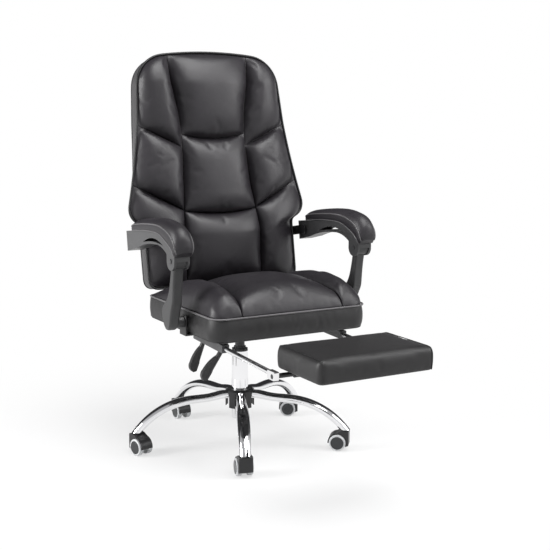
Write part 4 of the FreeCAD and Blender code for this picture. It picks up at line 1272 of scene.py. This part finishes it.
def softbox(name, place, target, size, power):
    light = bpy.data.lights.new(name, "AREA")
    light.shape = "RECTANGLE"
    light.size, light.size_y = size
    light.energy = power
    lamp = bpy.data.objects.new(name, light)
    bpy.context.scene.collection.objects.link(lamp)
    lamp.location = place
    lamp.rotation_euler = (Vector(target) - Vector(place)).to_track_quat("-Z", "Y").to_euler()


def make_camera():
    data = bpy.data.cameras.new("view")
    picture_width, focal_length = 550, 1043.6
    data.sensor_width = 36.0
    data.lens = focal_length / picture_width * data.sensor_width
    data.shift_x = 0.0638
    data.clip_end = 50.0
    camera = bpy.data.objects.new("view", data)
    bpy.context.scene.collection.objects.link(camera)
    camera.location = (-1.4504, -2.7281, 1.0198)
    turn, drop = math.radians(28.0), math.radians(9.27)
    level = math.cos(drop)
    ahead = Vector((math.sin(turn) * level, math.cos(turn) * level, -math.sin(drop)))
    camera.rotation_euler = ahead.to_track_quat("-Z", "Y").to_euler()
    bpy.context.scene.camera = camera


def make_studio():
    bpy.context.scene.view_settings.view_transform = "Standard"
    make_stage()
    make_world()
    middle = (0.0, -0.1, 0.6)
    softbox("right_softbox", (2.6, -2.2, 2.4), middle, (1.4, 2.0), 66.0)
    softbox("left_softbox", (-3.0, 0.7, 1.5), middle, (1.2, 2.0), 104.0)
    softbox("top_softbox", (0.3, -1.0, 3.2), middle, (1.8, 1.8), 88.0)
    make_camera()


# Operators

class Step:
    """What the steps have in common: each runs its own make function."""

    bl_options = {"REGISTER", "UNDO"}

    def execute(self, context):
        self.make()
        return {"FINISHED"}


class CHAIR_OT_finishes(Step, bpy.types.Operator):
    """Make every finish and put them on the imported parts"""

    bl_idname = "chair.finishes"
    bl_label = "Finishes"

    def make(self):
        make_finishes()
        dress_parts()


class CHAIR_OT_studio(Step, bpy.types.Operator):
    """Make the floor, the lights and the camera"""

    bl_idname = "chair.studio"
    bl_label = "Studio"

    def make(self):
        make_studio()


class CHAIR_OT_back(Step, bpy.types.Operator):
    """Make the back's pads, its side band, rear cover and piping"""

    bl_idname = "chair.back"
    bl_label = "Back"

    def make(self):
        make_back()


class CHAIR_OT_seat(Step, bpy.types.Operator):
    """Make the seat's boxing, its three top pads and piping"""

    bl_idname = "chair.seat"
    bl_label = "Seat"

    def make(self):
        make_boxing()
        make_seat_top()
        make_seat_piping()


class CHAIR_OT_footrest(Step, bpy.types.Operator):
    """Make the footrest's stuffed pad with its seams"""

    bl_idname = "chair.footrest"
    bl_label = "Footrest"

    def make(self):
        make_footrest_pad()


class CHAIR_OT_arm_pads(Step, bpy.types.Operator):
    """Make the stuffed covers of both arms with their seams"""

    bl_idname = "chair.arm_pads"
    bl_label = "Arm pads"

    def make(self):
        for label, side in chair_sides:
            make_arm_pad(label, side)


steps = (
    CHAIR_OT_finishes, CHAIR_OT_studio, CHAIR_OT_back, CHAIR_OT_seat, CHAIR_OT_footrest,
    CHAIR_OT_arm_pads,
)


class CHAIR_PT_steps(bpy.types.Panel):
    bl_idname = "CHAIR_PT_steps"
    bl_label = "Reclining chair"
    bl_space_type = "VIEW_3D"
    bl_region_type = "UI"
    bl_category = "Chair"

    def draw(self, context):
        layout = self.layout
        for group in (context.scene.chair_sizes, context.scene.chair_colours):
            box = layout.box()
            for name in group.bl_rna.properties.keys():
                if name not in ("rna_type", "name"):
                    box.prop(group, name)
        for step in steps:
            layout.operator(step.bl_idname)


classes = (ChairSizes, ChairColours) + steps + (CHAIR_PT_steps,)


def register():
    for cls in classes:
        bpy.utils.register_class(cls)
    bpy.types.Scene.chair_sizes = bpy.props.PointerProperty(type=ChairSizes)
    bpy.types.Scene.chair_colours = bpy.props.PointerProperty(type=ChairColours)


def unregister():
    del bpy.types.Scene.chair_colours
    del bpy.types.Scene.chair_sizes
    for cls in reversed(classes):
        bpy.utils.unregister_class(cls)


def main():
    register()
    bpy.ops.chair.finishes()
    bpy.ops.chair.studio()
    bpy.ops.chair.back()
    bpy.ops.chair.seat()
    bpy.ops.chair.footrest()
    bpy.ops.chair.arm_pads()


if __name__ == "__main__":
    main()
